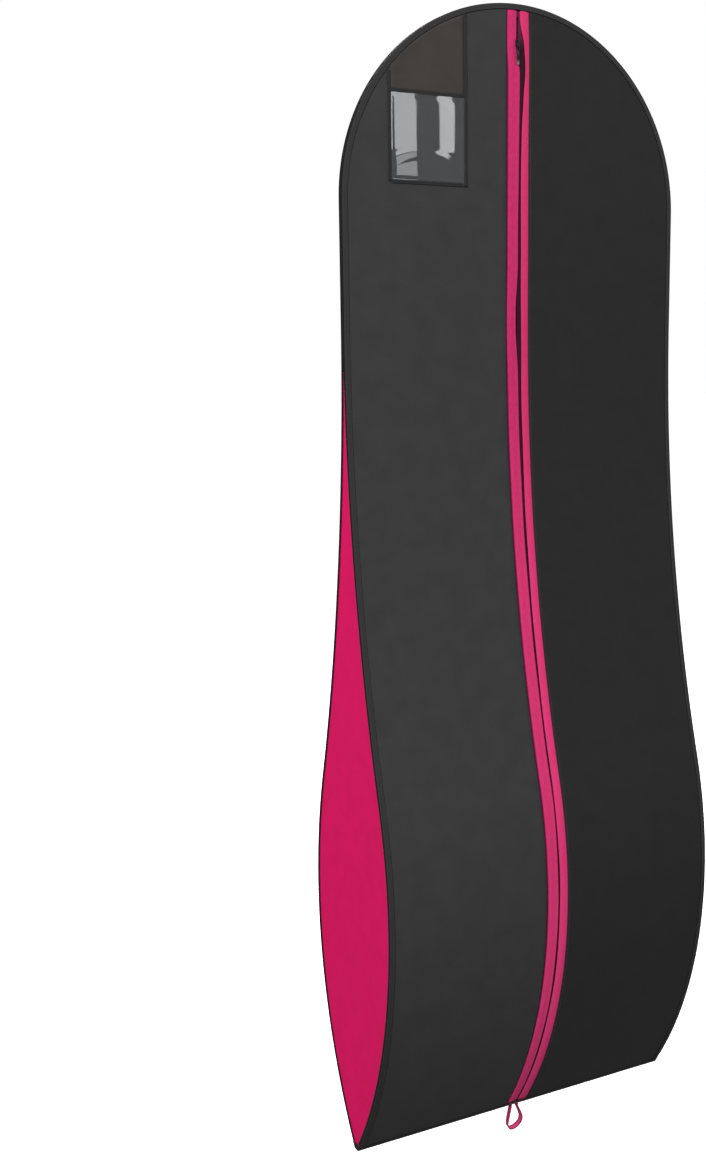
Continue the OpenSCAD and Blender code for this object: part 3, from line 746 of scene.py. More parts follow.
top_q = np.array([0.0, 0.1, 0.5, 1.2, 2.2, 3.4, 5.0, 7.0, 9.0, 11.0, 13.0, 15.0, 17.0, 18.4, 19.8, 21.2, 22.9]) * mm
dip = np.array([-0.42, -0.22, -0.07] + [0] * 14) * mm
lip_under = np.array([(22.9, -1.58), (16.0, -1.56), (8.0, -1.55), (2.0, -1.55), (0.3, -1.56)]) * mm
for side, name, finish in ((-1, "left", lip_left_cloth), (1, "right", lip_right_cloth)):
    down = down_at(np.arange(along(3.4 * mm), along(HEM - 0.5 * mm), 5 * mm))
    fold = side * fold_at(side, down)
    q = np.concatenate([top_q, lip_under[:, 0]])
    beside = fold[:, None] + q[None, :] * ((24.4 * mm - fold) / (22.9 * mm))[:, None]
    over = np.interp(beside, np.array([4.3, 5.4, 8, 12, 16, 18.5, 20.2, 24.4]) * mm,
                     np.array([-0.93, -0.72, -0.3, -0.1, -0.28, -0.75, -1.06, -1.12]) * mm)
    upper = np.arange(q.size)[None, :] < top_q.size
    out = np.where(upper, over + np.concatenate([dip, lip_under[:, 0] * 0])[None, :],
                   np.concatenate([top_q * 0, lip_under[:, 1]])[None, :])
    belly = np.exp(-(((beside - 12 * mm) / (4 * mm)) ** 2)) * upper
    ripple = np.sin(down * 2 * math.pi / 0.047 + 1.5 * np.sin(down * 17 + side))
    loose = (0.2 * ripple + 0.18 * np.sin(down * 29 + side)) * mm
    out = out + belly * loose[:, None]
    points = on_face(-1, side * beside, np.repeat(down[:, None], q.size, 1), out)
    # The cut cloth's own X runs from 0 at the folded edge to 23 mm under the panel.
    ring_u = np.concatenate([top_q, lip_under[:, 0] + 23.4 * mm, [46.8 * mm]])
    cut = unrolled(ring_u, along(down))
    made = lay_mesh(f"zip_fold_{name}", points, cut, wrap=True, capped=True)
    dress(made, finish, stands_for=[f"zip_lip_{name}"])

    # Tape, with a cord woven in beside the coil.
    tape_section = np.array([(1.25, -1.72), (1.6, -1.64), (2.6, -1.63), (4.0, -1.65), (9.0, -1.66),
                             (15.4, -1.66), (16.1, -1.8), (16.1, -2.0), (15.4, -2.08), (9.0, -2.08),
                             (3.9, -2.08), (1.6, -2.08), (1.25, -1.95)]) * mm
    down = down_at(np.concatenate([np.arange(along(5 * mm), along(30 * mm), 1.5 * mm),
                                   np.arange(along(30 * mm), along(HEM - 1 * mm), 8 * mm)]))
    spread = 0.5 * mm * np.clip((52 * mm - down) / (30 * mm), 0, 1)
    if side < 0:
        # The tape's upper end is folded across the opening.
        spread = spread - 3.2 * mm * smooth_step(-down, -22 * mm, -17 * mm)
    x = tape_section[None, :, 0] + spread[:, None]
    points = on_face(-1, side * x, np.repeat(down[:, None], tape_section.shape[0], 1), tape_section[None, :, 1])
    cut = unrolled(section_run(tape_section), along(down))
    made = lay_mesh(f"zip_weave_{name}", points, cut, wrap=True, capped=True)
    dress(made, zip_woven, stands_for=[f"zip_tape_{name}"])

bpy.ops.mesh.primitive_torus_add(major_segments=10, minor_segments=4, major_radius=0.85 * mm, minor_radius=0.3 * mm,
                                 rotation=(0, math.pi / 2, 0))
turn = bpy.context.object
bpy.ops.object.transform_apply(location=False, rotation=True, scale=True)
bpy.ops.object.mode_set(mode="EDIT")
bpy.ops.mesh.select_all(action="SELECT")
bpy.ops.transform.resize(value=(1.0, 1.02, 0.72))
pick(lambda v: v.co.y > 0.5 * mm, "VERT")
bpy.ops.transform.resize(value=(1.35, 1.0, 1.12))
bpy.ops.object.mode_set(mode="OBJECT")
one_turn = (np.array([v.co for v in turn.data.vertices]), [list(f.vertices) for f in turn.data.polygons])
bpy.data.objects.remove(turn)
for side, name in ((-1, "left"), (1, "right")):
    down = down_at(np.arange(along(21 * mm), along(1799 * mm), 2.0 * mm)) + (1.0 * mm if side > 0 else 0)
    spread = 0.5 * mm * np.clip((52 * mm - down) / (30 * mm), 0, 1)
    x = side * (2.24 * mm + spread)
    here = on_face(-1, x, down, -3.0 * mm)
    ahead = on_face(-1, x, down + 1 * mm, -3.0 * mm) - here
    up = on_face(-1, x, down, -1.0 * mm) - here
    skew = ahead / np.linalg.norm(ahead, axis=1, keepdims=True) + np.array([0.18 * side, 0, 0])
    made = copies(f"zip_turns_{name}", one_turn, here, skew, up,
                  np.repeat(np.array([[1.0, -side, 1.0]]), down.size, 0))
    if side > 0:
        made.data.flip_normals()
    dress(made, coil_nylon, stands_for=[f"zip_coil_{name}"])

# Rows of stitches that hold the panels' folded edges and the tapes to the lips.
for side, name in ((-1, "left"), (1, "right")):
    down = np.arange(12 * mm, HEM - 10 * mm, 4 * mm)
    x = side * (folded_edge[side] + 2.6 * mm)
    stitched_on_face(f"zip_stitches_{name}", -1, x, down, front_lift(x, down) + 0.02 * mm, PITCH, long_stitch,
                     edge_thread)


# ---------------------------------------------------------------- hard pieces, modelled by hand
def start_cube(name, low, high):
    """A cube between two corners, its place already in its mesh, in edit mode."""
    low, high = Vector(low), Vector(high)
    bpy.ops.mesh.primitive_cube_add(size=1, location=(low + high) / 2, scale=high - low)
    made = bpy.context.object
    made.name = name
    bpy.ops.object.transform_apply(location=True, rotation=True, scale=True)
    bpy.ops.object.mode_set(mode="EDIT")
    return made


def slice_at(place, way):
    bpy.ops.mesh.select_all(action="SELECT")
    bpy.ops.mesh.bisect(plane_co=place, plane_no=way)


def round_edges(width, steps=2, test=None):
    """Bevels the sharp edges, or only those that pass a test."""
    def sharp(edge):
        if len(edge.link_faces) != 2 or edge.calc_face_angle(0) < 0.6:
            return False
        return test is None or test(edge)

    pick(sharp, "EDGE")
    bpy.ops.mesh.bevel(offset=width, offset_type="OFFSET", segments=steps, profile=0.5, clamp_overlap=True)


def finish_shape():
    bpy.ops.mesh.select_all(action="SELECT")
    bpy.ops.mesh.remove_doubles(threshold=0.004 * mm)
    bpy.ops.mesh.normals_make_consistent(inside=False)
    bpy.ops.object.mode_set(mode="OBJECT")
    made = bpy.context.object
    bpy.ops.object.shade_smooth_by_angle(angle=math.radians(38))
    bpy.ops.object.select_all(action="DESELECT")
    return made


def joined(name, *parts):
    bpy.ops.object.select_all(action="DESELECT")
    for part in parts:
        part.select_set(True)
    bpy.context.view_layer.objects.active = parts[0]
    bpy.ops.object.join()
    made = bpy.context.object
    made.name = name
    made.data.name = name
    bpy.ops.object.select_all(action="DESELECT")
    return made


def keep_shading(made, finish, body, stands_for=()):
    """Like dress, for a piece whose smooth and sharp faces are already set."""
    made.data.materials.clear()
    made.data.materials.append(finish)
    if stands_for:
        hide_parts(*stands_for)
    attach(made, body)
    return made


def span(edge, axis):
    """How far an edge reaches along an axis."""
    return abs(edge.verts[0].co[axis] - edge.verts[1].co[axis])


slider_low, slider_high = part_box("zip_slider")
low_z, high_z = slider_low[2], slider_high[2]
middle = (low_z + high_z) / 2
front_face, front_back = -6.5 * mm, -5.32 * mm
# Front plate: narrows to the foot, its rim bevelled, a raised rib left by an inset.
plate = start_cube("slider_plate", (-4 * mm, front_face, low_z), (4 * mm, front_back, high_z))
slice_at((0, 0, middle), (0, 0, 1))
pick(lambda v: v.co.z < middle - 2 * mm, "VERT")
bpy.ops.transform.resize(value=(0.62, 1, 1))
round_edges(1.9 * mm, 4, lambda e: span(e, 1) > 0.8 * mm and abs(e.verts[0].co.z - middle) > 5 * mm)
pick(lambda f: f.normal.y < -0.9)
bpy.ops.mesh.inset(thickness=0.9 * mm, depth=0)
bpy.ops.mesh.inset(thickness=0.35 * mm, depth=-0.28 * mm)
round_edges(0.22 * mm, 2, lambda e: min(v.co.y for v in e.verts) < -5.9 * mm)
plate = finish_shape()
# Bridge that the pull hangs on: a bar whose two ends are drawn back to the plate.
crown_low, crown_high, crown_face = -63.7 * mm, -54.7 * mm, slider_low[1]
bridge = start_cube("slider_bridge", (-1 * mm, crown_face, crown_low), (1 * mm, crown_face + 0.7 * mm, crown_high))
for level in (crown_low + 0.8 * mm, crown_high - 0.8 * mm):
    slice_at((0, 0, level), (0, 0, 1))
crown_middle, crown_reach = (crown_low + crown_high) / 2, (crown_high - crown_low) / 2
pick(lambda f: f.normal.y > 0.9 and abs(f.calc_center_median().z - crown_middle) > crown_reach - 0.8 * mm)
bpy.ops.mesh.extrude_region_move(TRANSFORM_OT_translate={"value": (0, -6.3 * mm - (crown_face + 0.7 * mm), 0)})
round_edges(0.6 * mm, 3, lambda e: span(e, 0) > 1.5 * mm and e.verts[0].co.y < crown_face + 0.2 * mm)
round_edges(0.18 * mm, 2)
bridge = finish_shape()
# Rear plate: both side strips drawn forward as flanges round the coils.
rear_face, rear_back = -1.7 * mm, slider_high[1]
rear = start_cube("slider_rear", (-4.8 * mm, rear_face, low_z), (4.8 * mm, rear_back, high_z))
for x in (-4 * mm, 4 * mm):
    slice_at((x, 0, 0), (1, 0, 0))
pick(lambda f: f.normal.y < -0.9 and abs(f.calc_center_median().x) > 4 * mm)
bpy.ops.mesh.extrude_region_move(TRANSFORM_OT_translate={"value": (0, -1.8 * mm, 0)})
round_edges(1.4 * mm, 3, lambda e: span(e, 1) > 0.6 * mm and abs(abs(e.verts[0].co.x) - 4.8 * mm) < 0.1 * mm
            and abs(e.verts[0].co.z - middle) > 7 * mm)
round_edges(0.15 * mm, 2, lambda e: all(abs(v.co.y - rear_back) < 0.05 * mm for v in e.verts))
rear = finish_shape()
# Post between the coils, waisted in its middle.
post = start_cube("slider_post", (-0.88 * mm, front_back - 0.2 * mm, high_z - 6 * mm),
                  (0.88 * mm, rear_face + 0.2 * mm, high_z - 1 * mm))
slice_at((0, (front_back + rear_face) / 2, 0), (0, 1, 0))
pick(lambda v: abs(v.co.y - (front_back + rear_face) / 2) < 0.2 * mm, "VERT")
bpy.ops.transform.resize(value=(0.8, 1, 0.92))
round_edges(0.3 * mm, 2, lambda e: span(e, 1) > 0.5 * mm)
post = finish_shape()
keep_shading(joined("slider_body", plate, bridge, rear, post), slider_enamel, "slider",
             ["zip_slider"])

# Pull tab: a slotted plate with a round lower end, hung on its own pin.
pin_y, pin_z = -7.5 * mm, -62 * mm
TIP = pin_z - 28 * mm
tab = start_cube("pull_plate", (-2.5 * mm, pin_y - 0.5 * mm, TIP), (2.5 * mm, pin_y + 0.5 * mm, pin_z + 0.7 * mm))
round_rows = [(TIP, 0.12), (TIP + 0.12 * mm, 0.4), (TIP + 0.4 * mm, 0.62), (TIP + 0.9 * mm, 0.8),
              (TIP + 1.5 * mm, 0.92), (TIP + 2.4 * mm, 1.0)]
slot_top, slot_foot, WAIST = pin_z - 0.75 * mm, pin_z - 7.5 * mm, pin_z - 14 * mm
for level in [slot_top, slot_foot, WAIST] + [row[0] for row in round_rows[1:]]:
    slice_at((0, 0, level), (0, 0, 1))
for x in (-1.5 * mm, 1.5 * mm):
    slice_at((x, 0, 0), (1, 0, 0))


def slot_face(face):
    centre = face.calc_center_median()
    return abs(face.normal.y) > 0.9 and abs(centre.x) < 1 * mm and slot_foot < centre.z < slot_top


pick(slot_face)
bpy.ops.mesh.bridge_edge_loops()
pick(lambda v: v.co.z > pin_z + 0.5 * mm and abs(v.co.x) < 2 * mm, "VERT")
bpy.ops.transform.translate(value=(0, 0, -0.25 * mm))
for level, share_left in round_rows[:-1]:
    pick(lambda v: abs(v.co.z - level) < 0.02 * mm, "VERT")
    bpy.ops.transform.resize(value=(share_left, 1, 1))
# A slight waist below the slot, and a shallow hollow for the fingertip above the round end.
pick(lambda v: abs(v.co.z - WAIST) < 0.02 * mm, "VERT")
bpy.ops.transform.resize(value=(0.84, 1, 1))
pick(lambda f: f.normal.y < -0.9 and TIP + 0.9 * mm < f.calc_center_median().z < WAIST)
bpy.ops.mesh.inset(thickness=0.55 * mm, depth=0)
bpy.ops.mesh.inset(thickness=0.25 * mm, depth=-0.14 * mm)
round_edges(0.15 * mm, 2, lambda e: e.calc_face_angle(0) > 1.2)
tab = finish_shape()
bpy.ops.mesh.primitive_cylinder_add(vertices=20, radius=0.6 * mm, depth=4.4 * mm, location=(0, pin_y, pin_z),
                                    rotation=(0, math.pi / 2, 0))
pin = bpy.context.object
bpy.ops.object.transform_apply(location=True, rotation=True, scale=True)
bpy.ops.object.mode_set(mode="EDIT")
round_edges(0.12 * mm, 2)
pin = finish_shape()
keep_shading(joined("pull_tab_plate", tab, pin), pull_enamel, "pull_tab", ["zip_pull"])

# Stops: small bars pressed round the ends of the coils, pinched in the middle.
stops = []
for side in (-1, 1):
    near, far = sorted((side * 1.25 * mm, side * 3.6 * mm))
    shift = side * 0.45 * mm
    bar = start_cube("stop", (near + shift, -3.9 * mm, -19.9 * mm), (far + shift, -1.95 * mm, -16.1 * mm))
    slice_at((0, 0, -18 * mm), (0, 0, 1))
    pick(lambda v: abs(v.co.z + 18 * mm) < 0.1 * mm, "VERT")
    bpy.ops.transform.resize(value=(0.86, 0.9, 1))
    round_edges(0.35 * mm, 3)
    stops.append(finish_shape())
keep_shading(joined("upper_stops", *stops), stop_metal, "bag", ["zip_top_stops"])
stop_low, stop_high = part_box("zip_bottom_stop")
bar = start_cube("lower_stop", stop_low, stop_high)
bend_angle = math.atan(float(lean(1803 * mm)))
# The box spans the slope, so the bar is made thinner and tilted to lie along the cloth.
bpy.ops.mesh.select_all(action="SELECT")
thick = 1.8 * mm / max(stop_high[1] - stop_low[1], 1e-6)
stop_centre = (0, (stop_low[1] + stop_high[1]) / 2, (stop_low[2] + stop_high[2]) / 2)
bpy.ops.transform.resize(value=(0.96, thick, 0.94), center_override=stop_centre)
bpy.ops.transform.rotate(value=bend_angle, orient_axis="X", center_override=stop_centre)
round_edges(0.4 * mm, 3)
keep_shading(finish_shape(), stop_metal, "bag", ["zip_bottom_stop"])

# ---------------------------------------------------------------- card window
pane_low, pane_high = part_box("window_pane")
x0, x1, top, foot = pane_low[0], pane_high[0], -pane_high[2], -pane_low[2]
STRIP = 6 * mm


def window_tape(name, a, b, c, d):
    """A tape with soft edges on the front cloth, from x a to b and level c to d."""
    vertical = name in ("inner", "outer")
    if vertical:
        half, mid = (b - a) / 2, (a + b) / 2
        spots = np.arange(c, d + 1e-6, 3 * mm)
    else:
        half, mid = (d - c) / 2, (c + d) / 2
        spots = np.arange(a, b + 1e-6, 3 * mm)
    ring = np.array([(-1, 0.15), (-0.97, 0.7), (-0.88, 1), (-0.4, 1.04), (0.4, 1.04), (0.88, 1), (0.97, 0.7),
                     (1, 0.15), (0.9, 0), (-0.9, 0)])
    thick = 0.42 * mm
    offs = ring[None, :, 0] * half + mid
    outs = thick + ring[None, :, 1] * thick
    S = np.repeat(spots[:, None], len(ring), 1)
    x, dn = (np.broadcast_to(offs, S.shape), S) if vertical else (S, np.broadcast_to(offs, S.shape))
    points = on_face(-1, x, dn, front_lift(x, dn) + outs)
    cut = unrolled(section_run(np.stack([ring[:, 0] * half, ring[:, 1] * thick], 1)), spots)
    made = lay_mesh(f"window_tape_{name}", points, cut, wrap=True, capped=True)
    dress(made, strip_woven, stands_for=[f"window_strip_{name}"])


def rim_level(x, inward):
    """Level of the arch's inner edge at a place across."""
    radius = HALF_WIDTH - inward
    return HALF_WIDTH - math.sqrt(radius**2 - x**2)


window_tape("inner", x1, x1 + STRIP, rim_level(x1 + STRIP, TAPE) + 1.5 * mm, foot + STRIP)
window_tape("outer", x0 - STRIP, x0, rim_level(x0 - STRIP, TAPE) + 1.5 * mm, foot + STRIP)
window_tape("top", x0 + 0.3 * mm, x1 - 0.3 * mm, top - STRIP, top)
window_tape("bottom", x0 + 0.3 * mm, x1 - 0.3 * mm, foot, foot + STRIP)

u = np.linspace(0, 1, 96)
X, D = np.meshgrid(x0 - 2.5 * mm + u * (x1 - x0 + 5 * mm), top - 2.5 * mm + u * (foot - top + 5 * mm))
edge_share = np.minimum(np.minimum(X - x0, x1 - X), np.minimum(D - top, foot - D))
slack = smooth_step(edge_share, -1 * mm, 9 * mm)
# Two long curved creases cross the slack lower part of the vinyl.
from_arc = np.hypot(X - (x0 + 53 * mm), D - (top + 189 * mm)) - 106 * mm
crease = (0.05 * mm * np.exp(-((from_arc / (3.6 * mm)) ** 2))
          + 0.02 * mm * np.exp(-(((from_arc + 15 * mm) / (3 * mm)) ** 2)))
out = 0.36 * mm + slack * (0.12 * mm + crease + 0.008 * mm * np.sin(X * 61 + D * 9))
points = on_face(-1, X, D, front_lift(X, D) + out)
pane = lay_mesh("window_vinyl", points, np.stack([X, D], -1), flip=True)
dress(thicken(pane, 0.25 * mm), clear_vinyl, stands_for=["window_pane"])

u = np.linspace(0, 1, 31)
header_x = x0 + 0.2 * mm + u * (x1 - x0 - 0.4 * mm)
upper = np.array([rim_level(x, TAPE) + 0.8 * mm for x in header_x])
v = np.linspace(0, 1, 25)[:, None]
D = upper[None, :] + v * (top - 0.8 * mm - upper[None, :])
X = np.broadcast_to(header_x[None, :], D.shape)
side_in = np.minimum(X - x0, x1 - X)
loose = smooth_step(side_in, 2 * mm, 20 * mm) * smooth_step(D - upper[None, :], 0, 20 * mm)
out = 0.42 * mm + 0.25 * mm * np.sin(X * 55 + D * 31) * loose
points = on_face(-1, X, D, front_lift(X, D) + out)
header = lay_mesh("window_header_cloth", points, np.stack([X, D], -1), flip=True)
dress(thicken(header, 0.35 * mm), header_cloth, stands_for=["window_header"])

window_rows = [("inner_a", x1 + 1.5 * mm, True), ("inner_b", x1 + 4.5 * mm, True),
               ("outer_a", x0 - 1.5 * mm, True), ("outer_b", x0 - 4.5 * mm, True),
               ("top_a", top - 1.5 * mm, False), ("bottom_a", foot + 1.5 * mm, False),
               ("top_b", top - 4.5 * mm, False), ("bottom_b", foot + 4.5 * mm, False)]
for name, place, vertical in window_rows:
    if vertical:
        dn = np.arange(rim_level(place, TAPE) + 4 * mm, foot + 4 * mm, 3 * mm)
        x = np.full(dn.shape, place)
    else:
        x = np.arange(x0 + 2 * mm, x1 - 2 * mm, 3 * mm)
        dn = np.full(x.shape, place)
    stitched_on_face(f"window_stitches_{name}", -1, x, dn, front_lift(x, dn) + 0.88 * mm, 3.4 * mm, short_stitch,
                     edge_thread)

# ---------------------------------------------------------------- hanger slit
slot_half, slot_wide = 24.8 * mm, 3.95 * mm
angles = np.linspace(0, 2 * math.pi, 64, endpoint=False)


def stadium(long_half, wide_half, radius):
    """A rounded rectangle, as places across and deep."""
    c, s = np.cos(angles), np.sin(angles)
    return np.stack([np.sign(c) * (long_half - radius) + radius * c,
                     np.sign(s) * (wide_half - radius) + radius * s], 1)


loops = [(stadium(slot_half, slot_wide, 1.5 * mm), -2.0), (stadium(slot_half, slot_wide, 1.5 * mm), -1.25),
         (stadium(slot_half + 0.4 * mm, slot_wide + 0.3 * mm, 1.7 * mm), -1.02),
         (stadium(32.6 * mm, 4.95 * mm, 0.8 * mm), -1.06), (stadium(32.9 * mm, 4.98 * mm, 0.8 * mm), -1.95)]
points = []
for ring, rise in loops:
    radius = HALF_WIDTH + rise * mm
    turn_angle = ring[:, 0] / HALF_WIDTH
    points.append(np.stack([radius * np.sin(turn_angle), ring[:, 1], radius * np.cos(turn_angle) - HALF_WIDTH], 1))
points.append(points[0])
points = np.array(points)
cut = np.zeros((len(points), len(angles) + 1, 2))
for k, (ring, rise) in enumerate(loops + loops[:1]):
    cut[k, :-1] = ring
    cut[k, -1] = ring[0]
dress(lay_mesh("slit_facing", points, cut, wrap=True), patch_cloth, stands_for=["hanger_slit_patch"])
for end in (-1, 1):
    ys = np.linspace(-4.4 * mm, 4.4 * mm, 9)
    for k, off in enumerate((26.4, 28.4)):
        a = end * off * mm / HALF_WIDTH
        radius = HALF_WIDTH + 0.06 * mm
        line = np.stack([np.full(9, radius * math.sin(a)), ys, np.full(9, radius * math.cos(a) - HALF_WIDTH)], 1)
        lift = np.repeat(np.array([[math.sin(a), 0, math.cos(a)]]), 9, 0)
        stitched(f"slit_tack_{'left' if end < 0 else 'right'}_{k}", line, lift, 1.6 * mm, short_stitch,
                 edge_thread)

# ---------------------------------------------------------------- fold-up loop
loop_low, loop_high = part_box("bottom_loop")
line_z = loop_high[2] - 5 * mm
foot_z = loop_low[2]
knots = np.array([(-5.6, 9.0), (-6.0, 5.5), (-6.6, 0), (-9.6, -12), (-12.6, -24), (-14.0, -32), (-13.6, -38.5),
                  (-9.5, -42.6), (-3.5, -43.2), (3.0, -41.0), (8.6, -37.2), (12.6, -32.2), (14.0, -26.0),
                  (12.4, -17), (9.2, -8), (6.6, 0), (6.0, 5.5), (5.6, 9.0)])
# The loop hangs a little short and to one side.
sunk = np.clip(-knots[:, 1] / 40, 0, 1)
knots = np.stack([knots[:, 0] + 1.8 * sunk, np.where(knots[:, 1] < 0, knots[:, 1] * 0.935, knots[:, 1])], 1) * mm
steps = mean_run(knots)
fine = np.linspace(0, steps[-1], 110)


def smooth_path(keys, lengths, at):
    """A smooth line through points, which lie at those lengths along it, at other lengths."""
    tangents = np.gradient(keys, lengths, axis=0)
    index = np.clip(np.searchsorted(lengths, at, side="right") - 1, 0, len(keys) - 2)
    gap = (lengths[index + 1] - lengths[index])[:, None]
    t = (at - lengths[index])[:, None] / gap
    return ((2 * t**3 - 3 * t**2 + 1) * keys[index] + (t**3 - 2 * t**2 + t) * gap * tangents[index]
            + (-2 * t**3 + 3 * t**2) * keys[index + 1] + (t**3 - t**2) * gap * tangents[index + 1])


path = smooth_path(knots, steps, fine)
heading = np.gradient(path, axis=0)
heading /= np.linalg.norm(heading, axis=1, keepdims=True)
sideways = np.stack([heading[:, 1], -heading[:, 0]], 1)
band = np.array([(-4.9, -0.25), (-4.7, -0.55), (-3.4, -0.62), (0, -0.66), (3.4, -0.62), (4.7, -0.55),
                 (4.9, -0.25), (4.9, 0.25), (4.7, 0.55), (3.4, 0.62), (0, 0.66), (-3.4, 0.62), (-4.7, 0.55),
                 (-4.9, 0.25)]) * mm
gone = fine / fine[-1]
twist = -0.36 * np.sin(gone * math.pi) * smooth_step(gone, 0.24, 0.5)
points = np.zeros((len(path), len(band), 3))
for k in range(len(path)):
    deep = band[:, 0] * math.cos(twist[k]) - band[:, 1] * math.sin(twist[k])
    off = band[:, 0] * math.sin(twist[k]) + band[:, 1] * math.cos(twist[k])
    points[k, :, 0] = path[k, 0] + sideways[k, 0] * off
    points[k, :, 1] = deep
    points[k, :, 2] = line_z + path[k, 1] + sideways[k, 1] * off
cut = unrolled(section_run(band), fine)
loop = lay_mesh("fold_up_loop", points, cut, wrap=True, capped=True)
dress(loop, loop_woven, body=None, stands_for=["bottom_loop"])
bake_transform(loop)

# Bar tack: close satin stitches across the tape's ends, on the hem.
xs = np.linspace(-12.6 * mm, 12.6 * mm, 43)
here = on_face(-1, xs, HEM - 3.5 * mm, 1.2 * mm)
over = on_face(-1, xs, HEM - 3.5 * mm, 3 * mm) - here
down_way = on_face(-1, xs + 0.25 * mm, HEM - 2.5 * mm, 1.2 * mm) - here
tack_stitch = one_stitch(3.0 * mm, 0.62 * mm)
dress(copies("loop_tack", tack_stitch, here, down_way, over), tack_thread,
      stands_for=["loop_bar_tack"])


# ---------------------------------------------------------------- printed motif on the back
def ribbon(line, widths):
    """A painted stroke on the back cloth: places across and down, and its width at each."""
    line, widths = np.asarray(line, float) * mm, np.asarray(widths, float) * 1.3 * mm
    lengths = mean_run(line)
    at = np.linspace(0, lengths[-1], max(24, int(lengths[-1] / (4.5 * mm))))
    mid = smooth_path(line, lengths, at)
    wide = np.interp(at, lengths, widths)[:, None]
    ahead = np.gradient(mid, axis=0)
    ahead /= np.maximum(np.linalg.norm(ahead, axis=1, keepdims=True), 1e-9)
    normal = np.stack([ahead[:, 1], -ahead[:, 0]], 1)
    return [mid + normal * wide * k / 2 for k in (-1, -0.5, 0, 0.5, 1)]


def both_sides(line, widths):
    flipped = [(-x, d) for x, d in line]
    return [(line, widths), (flipped, widths)]


strokes = []
hook = [(0, 322), (0, 300), (3, 284), (17, 270), (24, 252), (18, 234), (0, 225), (-18, 232), (-25, 248)]
strokes.append((hook, [7, 7, 8, 9, 9, 8, 7, 6, 2]))
strokes += both_sides([(0, 322), (40, 330), (90, 348), (142, 372)], [8, 9, 8, 5])
strokes += both_sides([(142, 372), (150, 380), (140, 386), (70, 384), (0, 384)], [5, 6, 6, 5, 5])
strokes += both_sides([(62, 384), (60, 420), (66, 450)], [5, 6, 8])
strokes += both_sides([(0, 470), (34, 452), (66, 450)], [6, 8, 8])
strokes += both_sides([(66, 450), (70, 510), (58, 580), (46, 640)], [8, 10, 9, 8])
strokes += [([(-46, 640), (0, 650), (46, 640)], [10, 14, 10]), ([(-48, 664), (0, 674), (48, 664)], [6, 9, 6])]
strokes += both_sides([(48, 664), (74, 800), (112, 1000), (158, 1210), (206, 1420), (246, 1600)],
                      [9, 11, 12, 13, 13, 9])
for reach_x, w in ((0, 6), (62, 7), (124, 8), (186, 8)):
    line = [(reach_x * s, 690 + 900 * t - 26 * (1 - t) * (reach_x / 186)) for t, s in
            ((0.04, 0.17), (0.2, 0.28), (0.42, 0.47), (0.66, 0.71), (0.86, 0.9), (1.0, 1.0))]
    line = [(x, d + 18 * math.cos(reach_x / 70)) if d > 1500 else (x, d) for x, d in line]
    widths = [2, w * 0.7, w, w, w, w * 0.7]
    strokes += both_sides(line, widths) if reach_x else [(line, widths)]
for k in range(-4, 4):
    a, b = k * 61.5, (k + 1) * 61.5
    sag = 1604 + 20 - 10 * abs(k + 0.5) / 4
    strokes.append(([(a, 1600), ((a + b) / 2, sag + 8), (b, 1600)], [8, 15, 8]))
    strokes.append(([(a + 6, 1640), ((a + b) / 2, sag + 46), (b - 6, 1640)], [2, 8, 2]))
# Short strokes in ranks stand for pleats low on the skirt.
for rank, level in enumerate((1180, 1300, 1420, 1520)):
    reach_x = 150 + 26 * rank
    for k in range(-3 - rank, 4 + rank):
        x = k * reach_x / (3.8 + rank)
        strokes.append(([(x, level - 34), (x * 1.03, level), (x * 1.07, level + 34)], [1.5, 5.5, 1.5]))

verts, faces, spots = [], [], []
for n, (line, widths) in enumerate(strokes):
    lanes = ribbon(line, widths)
    count = len(lanes[0])
    start = len(verts)
    for lane in lanes:
        x, dn = lane[:, 0], lane[:, 1]
        placed = on_face(1, x, dn, back_lift(x, dn) + 0.06 * mm + 0.012 * mm * (n % 7))
        verts += placed.tolist()
        spots += np.stack([x, along(dn)], 1).tolist()
    for lane in range(len(lanes) - 1):
        for k in range(count - 1):
            a = start + lane * count + k
            faces.append([a, a + 1, a + count + 1, a + count])
mesh = bpy.data.meshes.new("printed_motif")
mesh.from_pydata(verts, [], faces)
layer = mesh.uv_layers.new(name="cut")
order = np.zeros(len(mesh.loops), np.int32)
mesh.loops.foreach_get("vertex_index", order)
layer.data.foreach_set("uv", np.array(spots, np.float32)[order].ravel())
normal_y = np.zeros(len(mesh.polygons) * 3)
mesh.polygons.foreach_get("normal", normal_y)
if normal_y.reshape(-1, 3)[:, 1].mean() < 0:
    mesh.flip_normals()
motif = bpy.data.objects.new("printed_motif", mesh)
bpy.context.collection.objects.link(motif)
dress(motif, print_ink)

# ---------------------------------------------------------------- floor, light, camera
bpy.ops.mesh.primitive_plane_add(size=80, location=(0, 0, loop_low[2] - 60 * mm))
floor = bpy.context.object
floor.name = "floor"
floor_finish, tree, shader = new_finish("matt_white_floor", roughness=0.9, specular_ior_level=0.0,
                                        emission_color=paint("#ffffff"), emission_strength=0.9)
shader.inputs["Base Color"].default_value = paint("#f4f4f4")
floor.data.materials.append(floor_finish)
floor.visible_diffuse = floor.visible_glossy = False

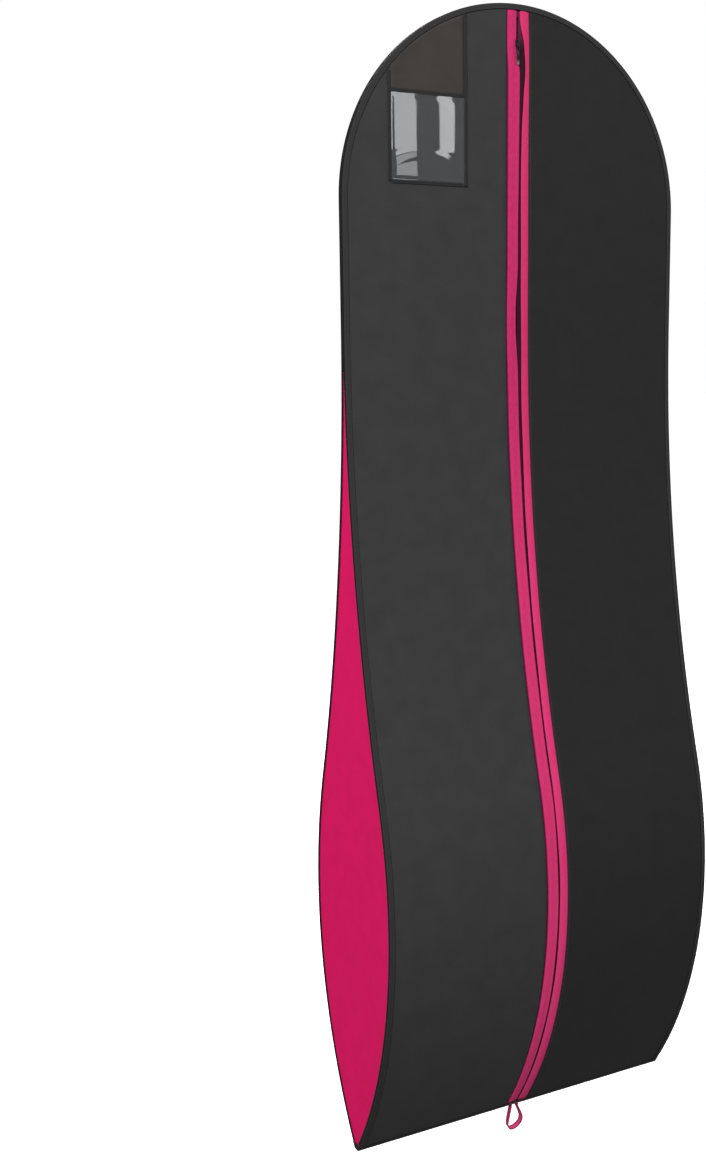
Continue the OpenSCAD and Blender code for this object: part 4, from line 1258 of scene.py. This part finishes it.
world = bpy.data.worlds.new("soft_room")
bpy.context.scene.world = world
world.use_nodes = True
tree = world.node_tree
tree.nodes.clear()
seen = add(tree, "ShaderNodeLightPath").outputs["Is Camera Ray"]
room = add(tree, "ShaderNodeBackground", {"Color": (1, 1, 1, 1), "Strength": 0.2}).outputs[0]
white = add(tree, "ShaderNodeBackground", {"Color": (1, 1, 1, 1), "Strength": 1.0}).outputs[0]
shown = add(tree, "ShaderNodeMixShader", links={0: seen, 1: room, 2: white}).outputs[0]
add(tree, "ShaderNodeOutputWorld", links={"Surface": shown})


def soft_light(name, place, aim, size, power, size_y=None, diffuse=1.0):
    lamp = bpy.data.lights.new(name, "AREA")
    lamp.shape = "RECTANGLE"
    lamp.size, lamp.size_y = size, size_y or size
    lamp.energy = power
    lamp.diffuse_factor = diffuse
    made = bpy.data.objects.new(name, lamp)
    bpy.context.collection.objects.link(made)
    made.location = place
    made.rotation_euler = (Vector(aim) - Vector(place)).to_track_quat("-Z", "Y").to_euler()
    made.visible_camera = False
    return made


soft_light("key_left", (-3.3, -3.1, 2.0), (0, 0, -0.8), 2.6, 348, 2.6)
soft_light("fill_right", (3.2, -2.6, 1.6), (0, 0, -0.8), 2.4, 70, 2.4)
soft_light("rim_back", (1.5, 3.4, 1.6), (0, 0, -0.8), 2.4, 200, 2.4)
soft_light("fill_side", (-3.0, 0.2, -1.5), (-0.3, 0, -1.3), 1.4, 13, 1.4)
# Narrow upright softboxes that the vinyl mirrors as grey bands.
soft_light("band_wide", (1.124, -2.64, 0.56), (-0.2, 0, -0.18), 0.182, 1.62, 0.72, diffuse=0.1)
soft_light("band_narrow", (1.346, -2.64, 0.56), (-0.12, 0, -0.18), 0.056, 0.59, 0.72, diffuse=0.1)
soft_light("band_low", (1.17, -2.64, 0.105), (-0.2, 0, -0.26), 0.10, 0.1, 0.13, diffuse=0.1)

lens = bpy.data.cameras.new("camera")
camera = bpy.data.objects.new("camera", lens)
bpy.context.collection.objects.link(camera)
bpy.context.scene.camera = camera
lens.sensor_width = 36
lens.lens = 43.42
lens.shift_x = -0.0668
lens.clip_start, lens.clip_end = 0.05, 60
yaw, pitch, roll = (math.radians(angle) for angle in (-28.44, 90 - 8.86, -0.42))
camera.matrix_world = (Matrix.Translation((-1.2014, -1.9256, -0.5424)) @ Matrix.Rotation(yaw, 4, "Z")
                       @ Matrix.Rotation(pitch, 4, "X") @ Matrix.Rotation(roll, 4, "Z"))
bpy.context.scene.view_settings.view_transform = "Standard"
bpy.context.scene.view_settings.look = "None"
